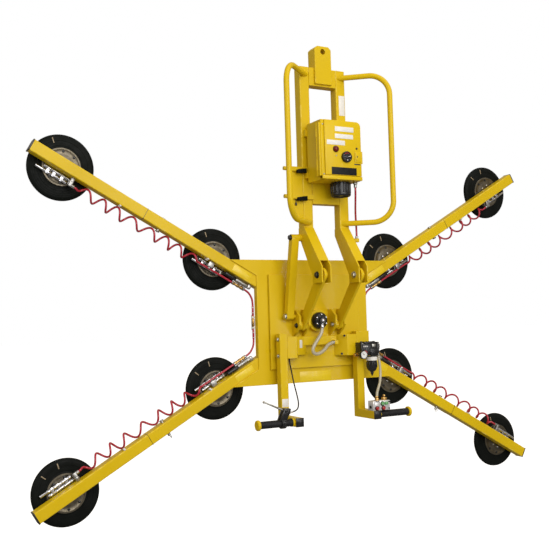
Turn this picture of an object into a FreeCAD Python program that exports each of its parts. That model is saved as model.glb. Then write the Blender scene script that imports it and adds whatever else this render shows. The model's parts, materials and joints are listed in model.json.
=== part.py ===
"""A vacuum glass panel lifter: lift frame, tilt linkage, turning pad frame and eight sprung pads.

Every piece is drawn about the hub, with the pad lips in the plane Y = 0, the hub axis at X = Z = 0, +X to
the operator's right, +Y towards the glass and +Z up. Each node is then placed so that the part's origin is
the centre of the lift eye. All lengths are millimetres and all angles degrees.
"""

import FreeCAD
import Part
import math
import os
import Sketcher
from types import SimpleNamespace

Vector = FreeCAD.Vector

DIMENSIONS = {
    # How far the uprights' middle plane is in front of the pad lips.
    "frame_back": 206,
    # Lift frame.
    "upright_tube": 50,
    "upright_wall": 4,
    "upright_pitch": 192,
    "upright_length": 736,
    "top_beam_height": 84,
    "lower_beam_rise": 108,
    "lower_beam_height": 104,
    "beam_wall": 4,
    "lift_bar_width": 88,
    "lift_bar_rise": 101,
    "lift_bar_drop": 76,
    "lift_bar_cheek": 12,
    "lift_bar_corner": 14,
    "eye_radius": 13,
    "eye_drop": 25,
    "kink_rise": 220,
    "kink_rear_drop": 35,
    "leg_wall": 6,
    "leg_front_rise": 36,
    "leg_nose": 35,
    "leg_half_depth": 40,
    "clevis_rise": 62,
    "guard_tube_radius": 12.5,
    "guard_reach": 149,
    "guard_forward": 170,
    "guard_top_drop": 34,
    "guard_base_rise": 22,
    "guard_bend": 95,
    "side_plate_width": 56,
    "side_plate_thickness": 6,
    "side_plate_rise": 55,
    "side_plate_height": 215,
    "clamp_bar_reach": 84,
    "clamp_bar_height": 20,
    "clamp_bar_depth": 12,
    "clamp_bar_rise": 71,
    "clamp_bar_pitch": 125,
    "clamp_knob_radius": 9,
    "clamp_knob_length": 16,
    "clamp_pad_length": 48,
    "clamp_pad_outset": 39,
    "clamp_pad_drop": 10,
    "clamp_pad_depth": 14,
    # Control box.
    "box_width": 206,
    "box_rise": 198,
    "box_height": 264,
    "box_depth": 104,
    "box_wall": 3,
    "rail_depth": 19,
    "rail_height": 30,
    "rail_inset": 22,
    "rail_end_gap": 10,
    "door_depth": 20,
    "door_wall": 3,
    "door_gap": 0.5,
    "door_pin_radius": 4,
    "door_knuckle_length": 40,
    "door_knuckle_radius": 7,
    "dial_radius": 25,
    "dial_depth": 14,
    "dial_offset": 22,
    "dial_rise": 102,
    "lamp_radius": 13,
    "lamp_depth": 14,
    "lamp_offset": 31,
    "lamp_rise": 135,
    "latch_radius": 6,
    "latch_ear": 8,
    "latch_tail": 26,
    "latch_height": 54,
    "latch_thickness": 5,
    "latch_rise": 106,
    "latch_pin_radius": 3,
    "horn_radius": 46,
    "horn_offset": 34,
    "horn_height": 64,
    "generator_width": 120,
    "generator_height": 150,
    "generator_depth": 60,
    # Tilt linkage: the leg pivot's height is above the hub, and the rest is told from its neighbours.
    "leg_throw": 126,
    "leg_pivot_height": 200,
    "lug_reach": 39,
    "lug_pivot_drop": 20,
    "link_top_back": 7,
    "link_top_rise": 176,
    "link_foot_reach": 26,
    "link_foot_height": 22,
    "pivot_radius": 10,
    "pivot_clearance": 0.05,
    "side_play": 0.3,
    "bolt_head_radius": 17,
    "bolt_head_height": 12,
    "tilt_arm_thickness": 12,
    "tilt_arm_top_radius": 32,
    "tilt_arm_foot_radius": 24,
    "tilt_boss_radius": 20,
    "link_width": 36,
    "link_depth": 30,
    "link_gap": 35,
    "link_stub_radius": 9,
    "link_stub_head": 12,
    "link_stub_head_height": 6,
    # Tilt frame.
    "rotator_width": 480,
    "rotator_height": 430,
    "rotator_thickness": 10,
    "rotator_gap": 4,
    "lug_thickness": 10,
    "lug_nose": 27,
    "lug_drop": 72,
    "lug_rise": 52,
    "cross_height": 40,
    "cross_depth": 24,
    "cross_wall": 3,
    "bracket_drop": 68,
    "bracket_height": 98,
    "bracket_wall": 5,
    "bracket_face": 50,
    "bracket_slope": 40,
    "post_tube": 38,
    "post_wall": 3,
    "post_offset": 204,
    "post_standoff": 56,
    "post_top_drop": 55,
    "foot_drop": 437,
    "foot_overhang": 23,
    "foot_cap_length": 4,
    "post_bolt_inset": 12,
    "post_bolt_radius": 6,
    "post_bolt_head": 10,
    "post_bolt_head_height": 7,
    "grip_throw": 102,
    "grip_radius": 16,
    "grip_bar_radius": 11,
    "grip_length": 158,
    "grip_clearance": 0.05,
    "grip_cap_radius": 18.5,
    "grip_cap_length": 13,
    "grip_ring_length": 8,
    "lever_reach": 61,
    "lever_mount_width": 44,
    "lever_mount_height": 62,
    "lever_mount_depth": 34,
    "lever_clamp_wall": 7,
    "lever_pin_radius": 4,
    "lever_rod_radius": 4,
    "lever_rod_length": 108,
    "lever_root_width": 12,
    "lever_root_radius": 9,
    "lever_angle": 24,
    "lock_radius": 12,
    "lock_offset": 152,
    "lock_drop": 138,
    "lock_length": 48,
    "lock_guide_radius": 20,
    "lock_guide_length": 20,
    "lock_play": 0.3,
    "hub_radius": 35,
    "hub_clearance": 0.05,
    "hub_flange_radius": 75,
    "hub_flange_thickness": 3.6,
    "bearing_radius": 50,
    "bearing_length": 24,
    "union_radius": 39,
    "union_length": 22,
    "union_nose_radius": 17,
    "union_nose_length": 20,
    "regulator_width": 100,
    "regulator_depth": 52,
    "regulator_height": 68,
    "regulator_gap": 51,
    "regulator_reach": 24,
    "regulator_bracket_width": 34,
    "regulator_bracket_length": 114,
    "regulator_bracket_wall": 4,
    "bowl_radius": 27,
    "bowl_length": 78,
    "bowl_reach": 22,
    "bowl_drain_radius": 7,
    "bowl_drain_length": 14,
    "gauge_radius": 20,
    "gauge_depth": 18,
    "gauge_reach": 48,
    "gauge_gap": 58,
    "inlet_radius": 9.5,
    "inlet_bore": 6,
    "inlet_length": 26,
    "inlet_gap": 60,
    "valve_width": 92,
    "valve_depth": 44,
    "valve_height": 44,
    "valve_reach": 26,
    "button_radius": 8,
    "button_length": 24,
    "button_stand": 9,
    "button_clearance": 0.05,
    "attach_reach": 3,
    "attach_rise": 31,
    "release_reach": 27,
    "release_rise": 11,
    # Pad frame.
    "plate_standoff": 90,
    "plate_width": 592,
    "plate_height": 568,
    "plate_thickness": 6,
    "plate_flange_depth": 30,
    "plate_ear": 130,
    "plate_ear_drop": 80,
    "plate_ear_lap": 4,
    "plate_side": 376,
    "arm_angle": 29.3,
    "arm_offset": 19,
    "arm_tube": 50,
    "arm_wall": 4,
    "arm_root": 150,
    "arm_seam": 941,
    "arm_end": 1482,
    "spigot_length": 190,
    "spigot_wall": 4,
    "spigot_clearance": 0.3,
    "pin_inset": 86,
    "pin_radius": 6,
    "pin_clearance": 0.05,
    "pin_hose_gap": 0.5,
    "pin_head_radius": 9,
    "pin_head_length": 16,
    # Pads.
    "pad_inner_station": 558,
    "pad_outer_station": 1330,
    "pad_radius": 140,
    "pad_lip_width": 4,
    "pad_lip_depth": 8,
    "pad_shoulder": 12,
    "pad_depth": 20,
    "pad_bore": 60,
    "pad_plate_radius": 80,
    "pad_plate_thickness": 6,
    "pad_stem_radius": 12,
    "pad_stem_clearance": 0.05,
    "pad_stem_length": 30,
    "pad_guide_radius": 19,
    "pad_guide_length": 19,
    # Hoses and fittings.
    "hose_radius": 4.5,
    "coil_radius": 24,
    "coil_turns": 8,
    "coil_gap": 175,
    "coil_end_gap": 18,
    "coil_lead": 40,
    "hose_offset": 57,
    "connector_start": 375,
    "connector_length": 70,
    "connector_radius": 11,
    "elbow_width": 26,
    "elbow_inset": 54,
    "manifold_height": 150,
    "manifold_depth": 18,
    "manifold_width": 16,
    "cable_radius": 3,
    "supply_hose_radius": 6,
    "union_hose_radius": 8,
    "nipple_radius": 9,
    "nipple_length": 18,
    "box_port_inset": 9,
    "box_port_front": 22,
    "leg_port_front": 11,
    "leg_port_reach": 31,
    "leg_port_drop": 46,
    "union_nipple": 7,
    "union_port_offset": 76,
    "outlet_gap": 30,
    "valve_port_inset": 11,
    "cable_drop": 8,
}

# How the edge hose leaves its connector, then its bends as shares of the way across and down.
EDGE_HOSE_LEAD = 22
EDGE_HOSE_BEND = [(0.36, 0.68), (0, 0.36)]

# How finely the coil's line is sampled, and how many radii along it two samples may be compared.
COIL_SAMPLE = 4.0
COIL_APART = 6

# How far inside the upright a guard's tube starts, as a share of its first run.
GUARD_SINK = 0.13

# Radius of the nipple on the leg, as a share of the elbow's half width.
LEG_NIPPLE_SHARE = 0.75

# Hand-picked routes of the loose hoses and the lock cable, about the hub. Each is stretched to its real ends.
BOX_HOSE_ROUTE = [
    (94, -332, 600), (94, -332, 572), (104, -314, 536), (123, -282, 498), (142, -254, 462),
    (152, -242, 426), (152, -242, 374),
]
UNION_HOSE_ROUTE = [
    (0, -160, -24), (0, -160, -50), (-20, -162, -78), (-44, -164, -106), (-56, -165, -131),
    (-46, -164, -153), (-18, -160, -159), (14, -151, -140), (46, -137, -103.3), (76, -137, -103.3),
]
SUPPLY_HOSE_ROUTE = [
    (287, -186, -136), (287, -186, -166), (286, -197, -206), (279, -214, -246), (264, -234, -281),
    (244, -252, -308), (222, -262, -340), (222, -262, -374),
]
LOCK_CABLE_ROUTE = [
    (-243, -262, -392), (-224, -262, -392), (-199, -259, -385), (-182, -243, -364), (-175, -219, -332),
    (-170, -190, -292), (-164, -160, -250), (-157, -134, -210), (-152, -114, -184), (-152, -114, -158),
]


class Size:
    """A length or angle that keeps its number and the sheet expression that gives it."""

    def __init__(self, value, text):
        self.value = value
        self.text = text

    def __add__(self, other):
        other = as_size(other)
        return Size(self.value + other.value, f"({self.text} + {other.text})")

    def __sub__(self, other):
        other = as_size(other)
        return Size(self.value - other.value, f"({self.text} - {other.text})")

    def __mul__(self, other):
        other = as_size(other)
        return Size(self.value * other.value, f"({self.text} * {other.text})")

    def __truediv__(self, other):
        other = as_size(other)
        return Size(self.value / other.value, f"({self.text} / {other.text})")

    def __neg__(self):
        return Size(-self.value, f"(0 - {self.text})")

    def __radd__(self, other):
        return as_size(other) + self

    def __rsub__(self, other):
        return as_size(other) - self

    __rmul__ = __mul__


def as_size(amount):
    """Return the amount as a Size, so that plain numbers mix with sheet values."""
    if isinstance(amount, Size):
        return amount
    return Size(float(amount), repr(float(amount)))


doc = FreeCAD.newDocument("glass_panel_lifter")
sheet = doc.addObject("Spreadsheet::Sheet", "Dims")
for row, (alias, number) in enumerate(DIMENSIONS.items(), start=1):
    sheet.set(f"A{row}", alias)
    sheet.set(f"B{row}", str(number))
    sheet.setAlias(f"B{row}", alias)
doc.recompute()
d = SimpleNamespace(**{alias: Size(sheet.get(alias), f"Dims.{alias}") for alias in DIMENSIONS})
nodes = []


# Small builders, each of which adds one bound object to the document.


def bind(thing, name, amount):
    """Bind one property to a sheet expression."""
    thing.setExpression(name, as_size(amount).text)


def place(thing, x=0, y=0, z=0):
    """Bind an object's position."""
    for letter, amount in zip("xyz", (x, y, z)):
        bind(thing, f"Placement.Base.{letter}", amount)
    return thing


def block(x, y, z):
    """A box between two bounds on each axis."""
    box = doc.addObject("Part::Box", "block")
    bind(box, "Length", x[1] - x[0])
    bind(box, "Width", y[1] - y[0])
    bind(box, "Height", z[1] - z[0])
    return place(box, x[0], y[0], z[0])


AXIS_TURNS = {
    "X": FreeCAD.Rotation(Vector(0, 1, 0), 90),
    "Y": FreeCAD.Rotation(Vector(1, 0, 0), -90),
    "Z": FreeCAD.Rotation(),
}


def along(thing, axis, start, centre):
    """Lay an object that was drawn along Z on an axis, from start, at the other two coordinates."""
    thing.Placement.Rotation = AXIS_TURNS[axis]
    first, second = centre
    spots = {"X": (start, first, second), "Y": (first, start, second), "Z": (first, second, start)}
    return place(thing, *spots[axis])


def rod(axis, radius, start, end, centre):
    """A cylinder along an axis."""
    cylinder = doc.addObject("Part::Cylinder", "rod")
    bind(cylinder, "Radius", radius)
    bind(cylinder, "Height", as_size(end) - start)
    return along(cylinder, axis, start, centre)


def hexagon(axis, radius, start, end, centre):
    """A six-sided bolt head or nut along an axis."""
    prism = doc.addObject("Part::Prism", "hexagon")
    prism.Polygon = 6
    bind(prism, "Circumradius", radius)
    bind(prism, "Height", as_size(end) - start)
    return along(prism, axis, start, centre)


def cut(base, *tools):
    """The base with every tool taken away."""
    for tool in tools:
        result = doc.addObject("Part::Cut", "cut")
        result.Base = base
        result.Tool = tool
        base = result
    return base


def fuse(*shapes):
    """Several pieces welded into one."""
    result = doc.addObject("Part::MultiFuse", "weld")
    result.Shapes = list(shapes)
    return result


def ring(axis, outer, inner, start, end, centre):
    """A tube of round section along an axis."""
    return cut(rod(axis, outer, start, end, centre), rod(axis, inner, start, end, centre))


def hollow(x, y, z, wall, axis):
    """A rectangular tube that is open at both ends along an axis."""
    bounds = {"X": x, "Y": y, "Z": z}
    inner = {name: (low + wall, high - wall) for name, (low, high) in bounds.items()}
    inner[axis] = bounds[axis]
    return cut(block(x, y, z), block(inner["X"], inner["Y"], inner["Z"]))


def outline(body, role, points):
    """A closed polygon sketch on one of the body's planes, with every corner bound to the sheet."""
    sketch = body.newObject("Sketcher::SketchObject", "outline")
    plane = next(feature for feature in body.Origin.OriginFeatures if feature.Role == role)
    sketch.AttachmentSupport = [(plane, "")]
    sketch.MapMode = "FlatFace"
    corners = [(as_size(u), as_size(v)) for u, v in points]
    count = len(corners)
    for index, (u, v) in enumerate(corners):
        next_u, next_v = corners[(index + 1) % count]
        corner = Vector(u.value, v.value, 0)
        next_corner = Vector(next_u.value, next_v.value, 0)
        sketch.addGeometry(Part.LineSegment(corner, next_corner))
    for index in range(count):
        sketch.addConstraint(Sketcher.Constraint("Coincident", index, 2, (index + 1) % count, 1))
    for index, corner in enumerate(corners):
        for kind, amount in zip(("DistanceX", "DistanceY"), corner):
            number = sketch.addConstraint(Sketcher.Constraint(kind, -1, 1, index, 1, amount.value))
            sketch.setExpression(f"Constraints[{number}]", amount.text)
    return sketch


def slab(axis, points, start, end):
    """A plate with a polygon outline, as thick as start to end on an axis.

    The outline's two coordinates are Y, Z for X; X, Z for Y; and X, Y for Z.
    """
    role = {"X": "YZ_Plane", "Y": "XZ_Plane", "Z": "XY_Plane"}[axis]
    body = doc.addObject("PartDesign::Body", "slab")
    sketch = outline(body, role, points)
    # The XZ plane looks along -Y, so its pad starts at the far bound.
    lift = -as_size(end) if axis == "Y" else as_size(start)
    bind(sketch, "AttachmentOffset.Base.z", lift)
    pad = body.newObject("PartDesign::Pad", "pad")
    pad.Profile = sketch
    bind(pad, "Length", as_size(end) - start)
    return body


def lathe(axis, points, x=0, y=0, z=0):
    """A turned piece: radius and axial position of each corner, turned about Y or Z."""
    role = {"Y": "XY_Plane", "Z": "XZ_Plane"}[axis]
    body = doc.addObject("PartDesign::Body", "lathe")
    sketch = outline(body, role, points)
    turn = body.newObject("PartDesign::Revolution", "turn")
    turn.Profile = sketch
    turn.ReferenceAxis = (sketch, ["V_Axis"])
    turn.Angle = 360
    return place(body, x, y, z)


def mirrored(source, normal="X"):
    """The other hand of a piece."""
    mirror = doc.addObject("Part::Mirroring", "mirror")
    mirror.Source = source
    mirror.Normal = Vector(1, 0, 0) if normal == "X" else Vector(0, 0, 1)
    return mirror


def group(*shapes):
    """Several separate solids kept together."""
    result = doc.addObject("Part::Compound", "group")
    result.Links = list(shapes)
    return result


def on_arm(*shapes):
    """Pieces drawn along +X, swung up onto the upper right arm."""
    result = group(*shapes)
    result.Placement.Rotation = FreeCAD.Rotation(Vector(0, -1, 0), d.arm_angle.value)
    bind(result, "Placement.Rotation.Angle", d.arm_angle)
    return result


def four_ways(upper_right):
    """A piece of the upper right arm, with its three mirror images."""
    upper_left = mirrored(upper_right)
    return {
        "upper_right": upper_right,
        "upper_left": upper_left,
        "lower_right": mirrored(upper_right, "Z"),
        "lower_left": mirrored(upper_left, "Z"),
    }


def solid(shape):
    """A ready shape as an object of the document."""
    feature = doc.addObject("Part::Feature", "solid")
    feature.Shape = shape
    return feature


def node(label, *shapes):
    """One named sub-part, placed with the lift eye at the origin."""
    result = group(*shapes)
    result.Label = label
    place(result, y=d.frame_back, z=-eye_height)
    nodes.append(result)
    return result


def bolt(axis, radius, head, height, start, end, centre):
    """A hex bolt through start to end, with its head before the start and its nut after the end."""
    return fuse(
        rod(axis, radius, start, end, centre),
        hexagon(axis, head, start - height, start, centre),
        hexagon(axis, head, end, end + height, centre),
    )


# Levels that several pieces share.

upright_x = d.upright_pitch / 2
half_tube = d.upright_tube / 2
upright_front = -d.frame_back - half_tube
upright_rear = -d.frame_back + half_tube
upright_outer = upright_x + half_tube
upright_inner = upright_x - half_tube
upright_depth = (upright_front, upright_rear)
cheek_gap = d.upright_tube - d.leg_wall * 2

leg_pivot = (-d.frame_back - d.leg_throw, d.leg_pivot_height)
leg_front_height = d.leg_pivot_height + d.leg_front_rise
leg_base = d.leg_pivot_height - d.leg_nose
clevis_height = d.leg_pivot_height + d.clevis_rise
kink_height = d.leg_pivot_height + d.kink_rise
kink_rear_height = kink_height - d.kink_rear_drop
upright_top = kink_height + d.upright_length
lift_bar_top = upright_top + d.lift_bar_rise
eye_height = lift_bar_top - d.eye_drop
lower_beam_base = kink_height + d.lower_beam_rise
guard_top = upright_top - d.guard_top_drop
guard_base = kink_height + d.guard_base_rise
side_plate_base = kink_height + d.side_plate_rise

box_base = kink_height + d.box_rise
box_top = box_base + d.box_height
box_half = d.box_width / 2
box_rear = upright_front - d.rail_depth
box_front = box_rear - d.box_depth
door_front = box_front - d.door_gap - d.door_depth
dial_height = box_base + d.dial_rise
lamp_height = box_base + d.lamp_rise
latch_centre = box_base + d.latch_rise

plate_front = -d.plate_standoff
plate_back = plate_front + d.plate_thickness
rotator_back = plate_front - d.rotator_gap
rotator_front = rotator_back - d.rotator_thickness
lug_pivot = (rotator_front - d.lug_reach, -d.lug_pivot_drop)
link_top = (-d.frame_back + d.link_top_back, d.leg_pivot_height + d.link_top_rise)
link_foot = (rotator_front - d.link_foot_reach, d.link_foot_height)
link_offset = upright_outer + d.link_gap
cross_top = -d.lug_drop - d.side_play
cross_base = cross_top - d.cross_height
cross_front = rotator_front - d.cross_depth
union_front = rotator_front - d.bearing_length - d.union_length
nose_middle = union_front - d.union_nose_length / 2
nipple_base = -d.union_nose_radius - d.union_nipple
lock_guide_front = rotator_front - d.lock_guide_length

post_front = d.post_standoff - rotator_front
post_rear = -post_front + d.post_tube
post_inner = d.post_offset - d.post_tube / 2
post_outer = d.post_offset + d.post_tube / 2
post_bolt_drops = (
    d.bracket_drop + d.post_bolt_inset,
    d.bracket_drop + d.bracket_height - d.post_bolt_inset,
)
foot_top = -d.foot_drop + d.post_tube / 2
foot_base = -d.foot_drop - d.post_tube / 2
grip_front = post_front + d.grip_throw
foot_front = grip_front + d.foot_overhang
lever_offset = d.post_offset + d.lever_reach
lever_pivot_height = -d.foot_drop + d.lever_mount_height - d.lever_root_radius
regulator_offset = d.post_offset + d.regulator_reach
regulator_top = -d.post_top_drop - d.regulator_gap
regulator_right = regulator_offset + d.regulator_width / 2
regulator_middle = -post_front - d.regulator_depth / 2
valve_offset = d.post_offset + d.valve_reach
valve_top = foot_top + d.valve_height

arm_front = plate_back
arm_rear = plate_back + d.arm_tube
arm_low = d.arm_offset - d.arm_tube / 2
arm_high = d.arm_offset + d.arm_tube / 2
pin_station = d.arm_seam - d.pin_inset
hose_front = -(arm_front + arm_rear) / 2
connector_end = d.connector_start + d.connector_length
coil_start = connector_end + d.coil_gap
elbow_station = d.pad_outer_station - d.elbow_inset
coil_end = elbow_station - d.elbow_width / 2 - d.coil_end_gap


# Routes of hoses and tubes: straight runs joined by tangent arcs.


def route(points, ratio=0.45, radius=None):
    """A wire through the points, with each corner rounded; returns the wire and its radii."""
    corners = [Vector(*point) for point in points]
    edges = []
    radii = []
    start = corners[0]
    for before, corner, after in zip(corners, corners[1:], corners[2:]):
        inward = (corner - before).normalize()
        outward = (after - corner).normalize()
        turn = inward.getAngle(outward)
        shorter = min((corner - before).Length, (after - corner).Length)
        bend = radius if radius else ratio * shorter / math.tan(turn / 2)
        setback = bend * math.tan(turn / 2)
        enter = corner - inward * setback
        leave = corner + outward * setback
        middle_way = (outward - inward).normalize()
        middle = corner + middle_way * (bend / math.cos(turn / 2) - bend)
        edges.append(Part.LineSegment(start, enter).toShape())
        edges.append(Part.Arc(enter, middle, leave).toShape())
        radii.append(bend)
        start = leave
    edges.append(Part.LineSegment(start, corners[-1]).toShape())
    return Part.Wire(edges), radii


def tube(wire, radius):
    """A round tube along a wire, started square to it."""
    first = wire.Edges[0]
    begin = first.valueAt(first.FirstParameter)
    heading = first.tangentAt(first.FirstParameter)
    profile = Part.Wire(Part.makeCircle(radius, begin, heading))
    return wire.makePipeShell([profile], True, False)


def stretched(points, start, end):
    """A route moved on each axis so that its first and last points lie where the model puts them."""
    start = [as_size(amount).value for amount in start]
    end = [as_size(amount).value for amount in end]
    first, last = points[0], points[-1]
    return [
        tuple(
            start[axis] + (point[axis] - first[axis]) * (end[axis] - start[axis]) / (last[axis] - first[axis])
            for axis in range(3)
        )
        for point in points
    ]


def hose(name, points, radius):
    """A bent hose through hand-picked points; prints its radii and its volume against its length."""
    wire, radii = route(points)
    shape = tube(wire, radius)
    expected = math.pi * radius ** 2 * wire.Length
    smallest = min(radii) / (2 * radius)
    print(f"{name}: length {wire.Length:.0f}, least radius {smallest:.1f} diameters, "
          f"volume {shape.Volume / expected:.4f} of section times length")
    return solid(shape)


def biarc(start, start_way, end, end_way):
    """Two tangent arcs from one point and direction to another."""
    gap = end - start
    ways = start_way + end_way
    slope = gap.dot(ways)
    spread = 2 * (1 - start_way.dot(end_way))
    if abs(spread) < 1e-9:
        reach = gap.dot(gap) / (4 * gap.dot(end_way))
    else:
        reach = (-slope + math.sqrt(slope ** 2 + spread * gap.dot(gap))) / spread
    joint = (start + start_way * reach + end - end_way * reach) * 0.5
    edges = []
    for first, way, last in ((start, start_way, joint), (joint, None, end)):
        if way is None:
            way = ((end - end_way * reach) - (start + start_way * reach)).normalize()
        chord = last - first
        side = chord.cross(way).cross(chord)
        bulge = chord.normalize().getAngle(way)
        if side.Length < 1e-7 or bulge < 1e-6:
            edges.append(Part.LineSegment(first, last).toShape())
            continue
        height = (last - first).Length / 2 * math.tan(bulge / 2)
        middle = (first + last) * 0.5 + side.normalize() * height
        edges.append(Part.Arc(first, middle, last).toShape())
    return edges


def coil_path(share):
    """The coil hose's centre line at a share of its length: along the arm, then across and in depth."""
    span = coil_end.value - coil_start.value
    lead = d.coil_lead.value / span
    swell = min(1.0, share / lead, (1 - share) / lead)
    swell = swell * swell * (3 - 2 * swell)
    angle = 2 * math.pi * round(d.coil_turns.value) * share
    reach = d.coil_radius.value * swell
    across = d.arm_offset.value - d.hose_offset.value - reach * math.cos(angle)
    depth = -hose_front.value - reach * math.sin(angle)
    return Vector(coil_start.value + span * share, depth, across)


def coil_hose():
    """A stretched curly hose beside the upper right arm, from its root to the outer pad's elbow."""
    radius = d.hose_radius.value
    across = d.arm_offset.value - d.hose_offset.value
    root = Vector(d.connector_start.value + d.connector_length.value, -hose_front.value, across)
    tip = Vector(elbow_station.value - d.elbow_width.value / 2, -hose_front.value, across)
    quarters = 4 * round(d.coil_turns.value)
    step = 1e-4
    knots = []
    for index in range(quarters + 1):
        share = index / quarters
        ahead = coil_path(min(1.0, share + step))
        behind = coil_path(max(0.0, share - step))
        knots.append((coil_path(share), (ahead - behind).normalize()))
    along_arm = Vector(1, 0, 0)
    knots[0] = (knots[0][0], along_arm)
    knots[-1] = (knots[-1][0], along_arm)
    edges = [Part.LineSegment(root, knots[0][0]).toShape()]
    for (start, start_way), (end, end_way) in zip(knots, knots[1:]):
        edges += biarc(start, start_way, end, end_way)
    edges.append(Part.LineSegment(knots[-1][0], tip).toShape())
    wire = Part.Wire(edges)
    shape = tube(wire, radius)
    samples = wire.discretize(Distance=COIL_SAMPLE)
    far = int(COIL_APART * radius / COIL_SAMPLE) + 1
    gap = min(
        sample.distanceToPoint(other)
        for index, sample in enumerate(samples)
        for other in samples[index + far:]
    ) - 2 * radius
    expected = math.pi * radius ** 2 * wire.Length
    print(f"coil hose: length {wire.Length:.0f}, least gap to itself {gap:.1f}, "
          f"volume {shape.Volume / expected:.4f} of section times length")
    return solid(shape)


def build_lift_frame():
    """Uprights, beams, lift bar, legs, guards and the side bracket."""
    upright_level = (kink_height, upright_top)
    upright = hollow((upright_inner, upright_outer), upright_depth, upright_level, d.upright_wall, "Z")
    node("upright_right", upright)
    node("upright_left", mirrored(upright))
    beam_bounds = (-upright_inner, upright_inner)
    top_beam_base = upright_top - d.top_beam_height
    lower_top = lower_beam_base + d.lower_beam_height
    node(
        "cross_beams",
        hollow(beam_bounds, upright_depth, (top_beam_base, upright_top), d.beam_wall, "X"),
        hollow(beam_bounds, upright_depth, (lower_beam_base, lower_top), d.beam_wall, "X"),
    )
    build_lift_bar()
    build_legs()
    build_guards()
    build_side_bracket()


def build_lift_bar():
    """A short post on the top beam, a cheek plate down the beam's face, and the lift eye through both."""
    half = d.lift_bar_width / 2
    bar = (-half, half)
    corner = d.lift_bar_corner
    shoulder = lift_bar_top - corner
    foot = upright_top - d.lift_bar_drop
    cheek = slab(
        "Y",
        [(-half, foot), (half, foot), (half, shoulder), (half - corner, lift_bar_top),
         (corner - half, lift_bar_top), (-half, shoulder)],
        upright_front - d.lift_bar_cheek,
        upright_front,
    )
    post = slab(
        "Y",
        [(-half, upright_top), (half, upright_top), (half, shoulder), (half - corner, lift_bar_top),
         (corner - half, lift_bar_top), (-half, shoulder)],
        upright_front,
        upright_rear,
    )
    eye = rod("Y", d.eye_radius, upright_front - d.lift_bar_cheek, upright_rear, (0, eye_height))
    node("lift_bar", cut(fuse(cheek, post), eye))


def build_legs():
    """Bent hollow legs below the uprights, each ending in a clevis for its tilt arm."""
    wall = d.leg_wall
    front = leg_pivot[0] - d.leg_half_depth
    rear = leg_pivot[0] + d.leg_half_depth
    points = [
        (upright_front, kink_height),
        (front, leg_front_height),
        (front, leg_base),
        (rear, leg_base),
        (rear, d.leg_pivot_height),
        (upright_rear, kink_rear_height),
        (upright_rear, kink_height),
    ]
    inner = [
        (upright_front + wall, kink_height),
        (front + wall, leg_front_height),
        (front + wall, leg_base),
        (rear - wall, leg_base),
        (rear - wall, d.leg_pivot_height),
        (upright_rear - wall, kink_rear_height),
        (upright_rear - wall, kink_height),
    ]
    inside = (upright_inner + wall, upright_outer - wall)
    mouth = block(inside, (front - wall, upright_front), (leg_base - wall, clevis_height))
    bore = d.pivot_radius + d.pivot_clearance
    pivot_hole = rod("X", bore, upright_inner - wall, upright_outer + wall, leg_pivot)
    leg = cut(
        slab("X", points, upright_inner, upright_outer),
        slab("X", inner, *inside),
        mouth,
        pivot_hole,
    )
    node("leg_right", leg)
    link_hole = rod("X", bore, -upright_outer - wall, wall - upright_inner, link_top)
    node("leg_left", cut(mirrored(leg), link_hole))
    washer = d.side_play
    pivot_bolt = (d.pivot_radius, d.bolt_head_radius, d.bolt_head_height)
    right_bolt = bolt("X", *pivot_bolt, upright_inner, upright_outer, leg_pivot)
    link_outer = -link_offset - d.link_width / 2 - washer
    link_bolt = bolt("X", *pivot_bolt, link_outer, -upright_inner, link_top)
    spacer = ring(
        "X",
        d.bolt_head_radius,
        bore,
        d.link_width / 2 + washer - link_offset,
        -upright_outer,
        link_top,
    )
    node("leg_pivot_bolts", right_bolt, mirrored(right_bolt), link_bolt, spacer)


def build_guards():
    """Bent tube guards that splay out and forward from each upright's front face."""
    outer = (upright_outer + d.guard_reach).value
    forward = -(d.frame_back + d.guard_forward).value
    root = upright_x.value - (outer - upright_x.value) * GUARD_SINK
    axis = upright_front.value - (forward - upright_front.value) * GUARD_SINK
    top = guard_top.value
    base = guard_base.value
    wire, _ = route(
        [(root, axis, top), (outer, forward, top), (outer, forward, base), (root, axis, base)],
        radius=d.guard_bend.value,
    )
    guard = solid(tube(wire, d.guard_tube_radius.value))
    # The tube starts inside the upright and is coped against its front face.
    face = block(
        (0, upright_outer + d.upright_tube),
        (upright_front, upright_rear),
        (guard_base - d.guard_bend, guard_top + d.guard_bend),
    )
    guard = cut(guard, face)
    node("guard_right", guard)
    node("guard_left", mirrored(guard))


def build_side_bracket():
    """A flat plate out from the left upright, with two clamp bars across it, their pads and knobs."""
    plate_outer = -upright_outer - d.side_plate_width
    plate = block(
        (plate_outer, -upright_outer),
        (upright_front, upright_front + d.side_plate_thickness),
        (side_plate_base, side_plate_base + d.side_plate_height),
    )
    bars = []
    pads = []
    bar_front = upright_front - d.clamp_bar_depth
    pad_outer = -upright_outer - d.clamp_pad_outset
    lower_bar = side_plate_base + d.clamp_bar_rise
    for low in (lower_bar, lower_bar + d.clamp_bar_pitch):
        centre = (bar_front + d.clamp_bar_depth / 2, low + d.clamp_bar_height / 2)
        end = -upright_outer - d.clamp_bar_reach
        level = (low, low + d.clamp_bar_height)
        bars.append(block((end, -upright_inner), (bar_front, upright_front), level))
        bars.append(rod("X", d.clamp_knob_radius, end - d.clamp_knob_length, end, centre))
        pads.append(
            block(
                (pad_outer, pad_outer + d.clamp_pad_length),
                (bar_front - d.clamp_pad_depth, bar_front),
                (low - d.clamp_pad_drop, low - d.clamp_pad_drop + d.clamp_bar_height),
            )
        )
    node("side_bracket", plate, *bars)
    node("clamp_pads", *pads)


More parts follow.
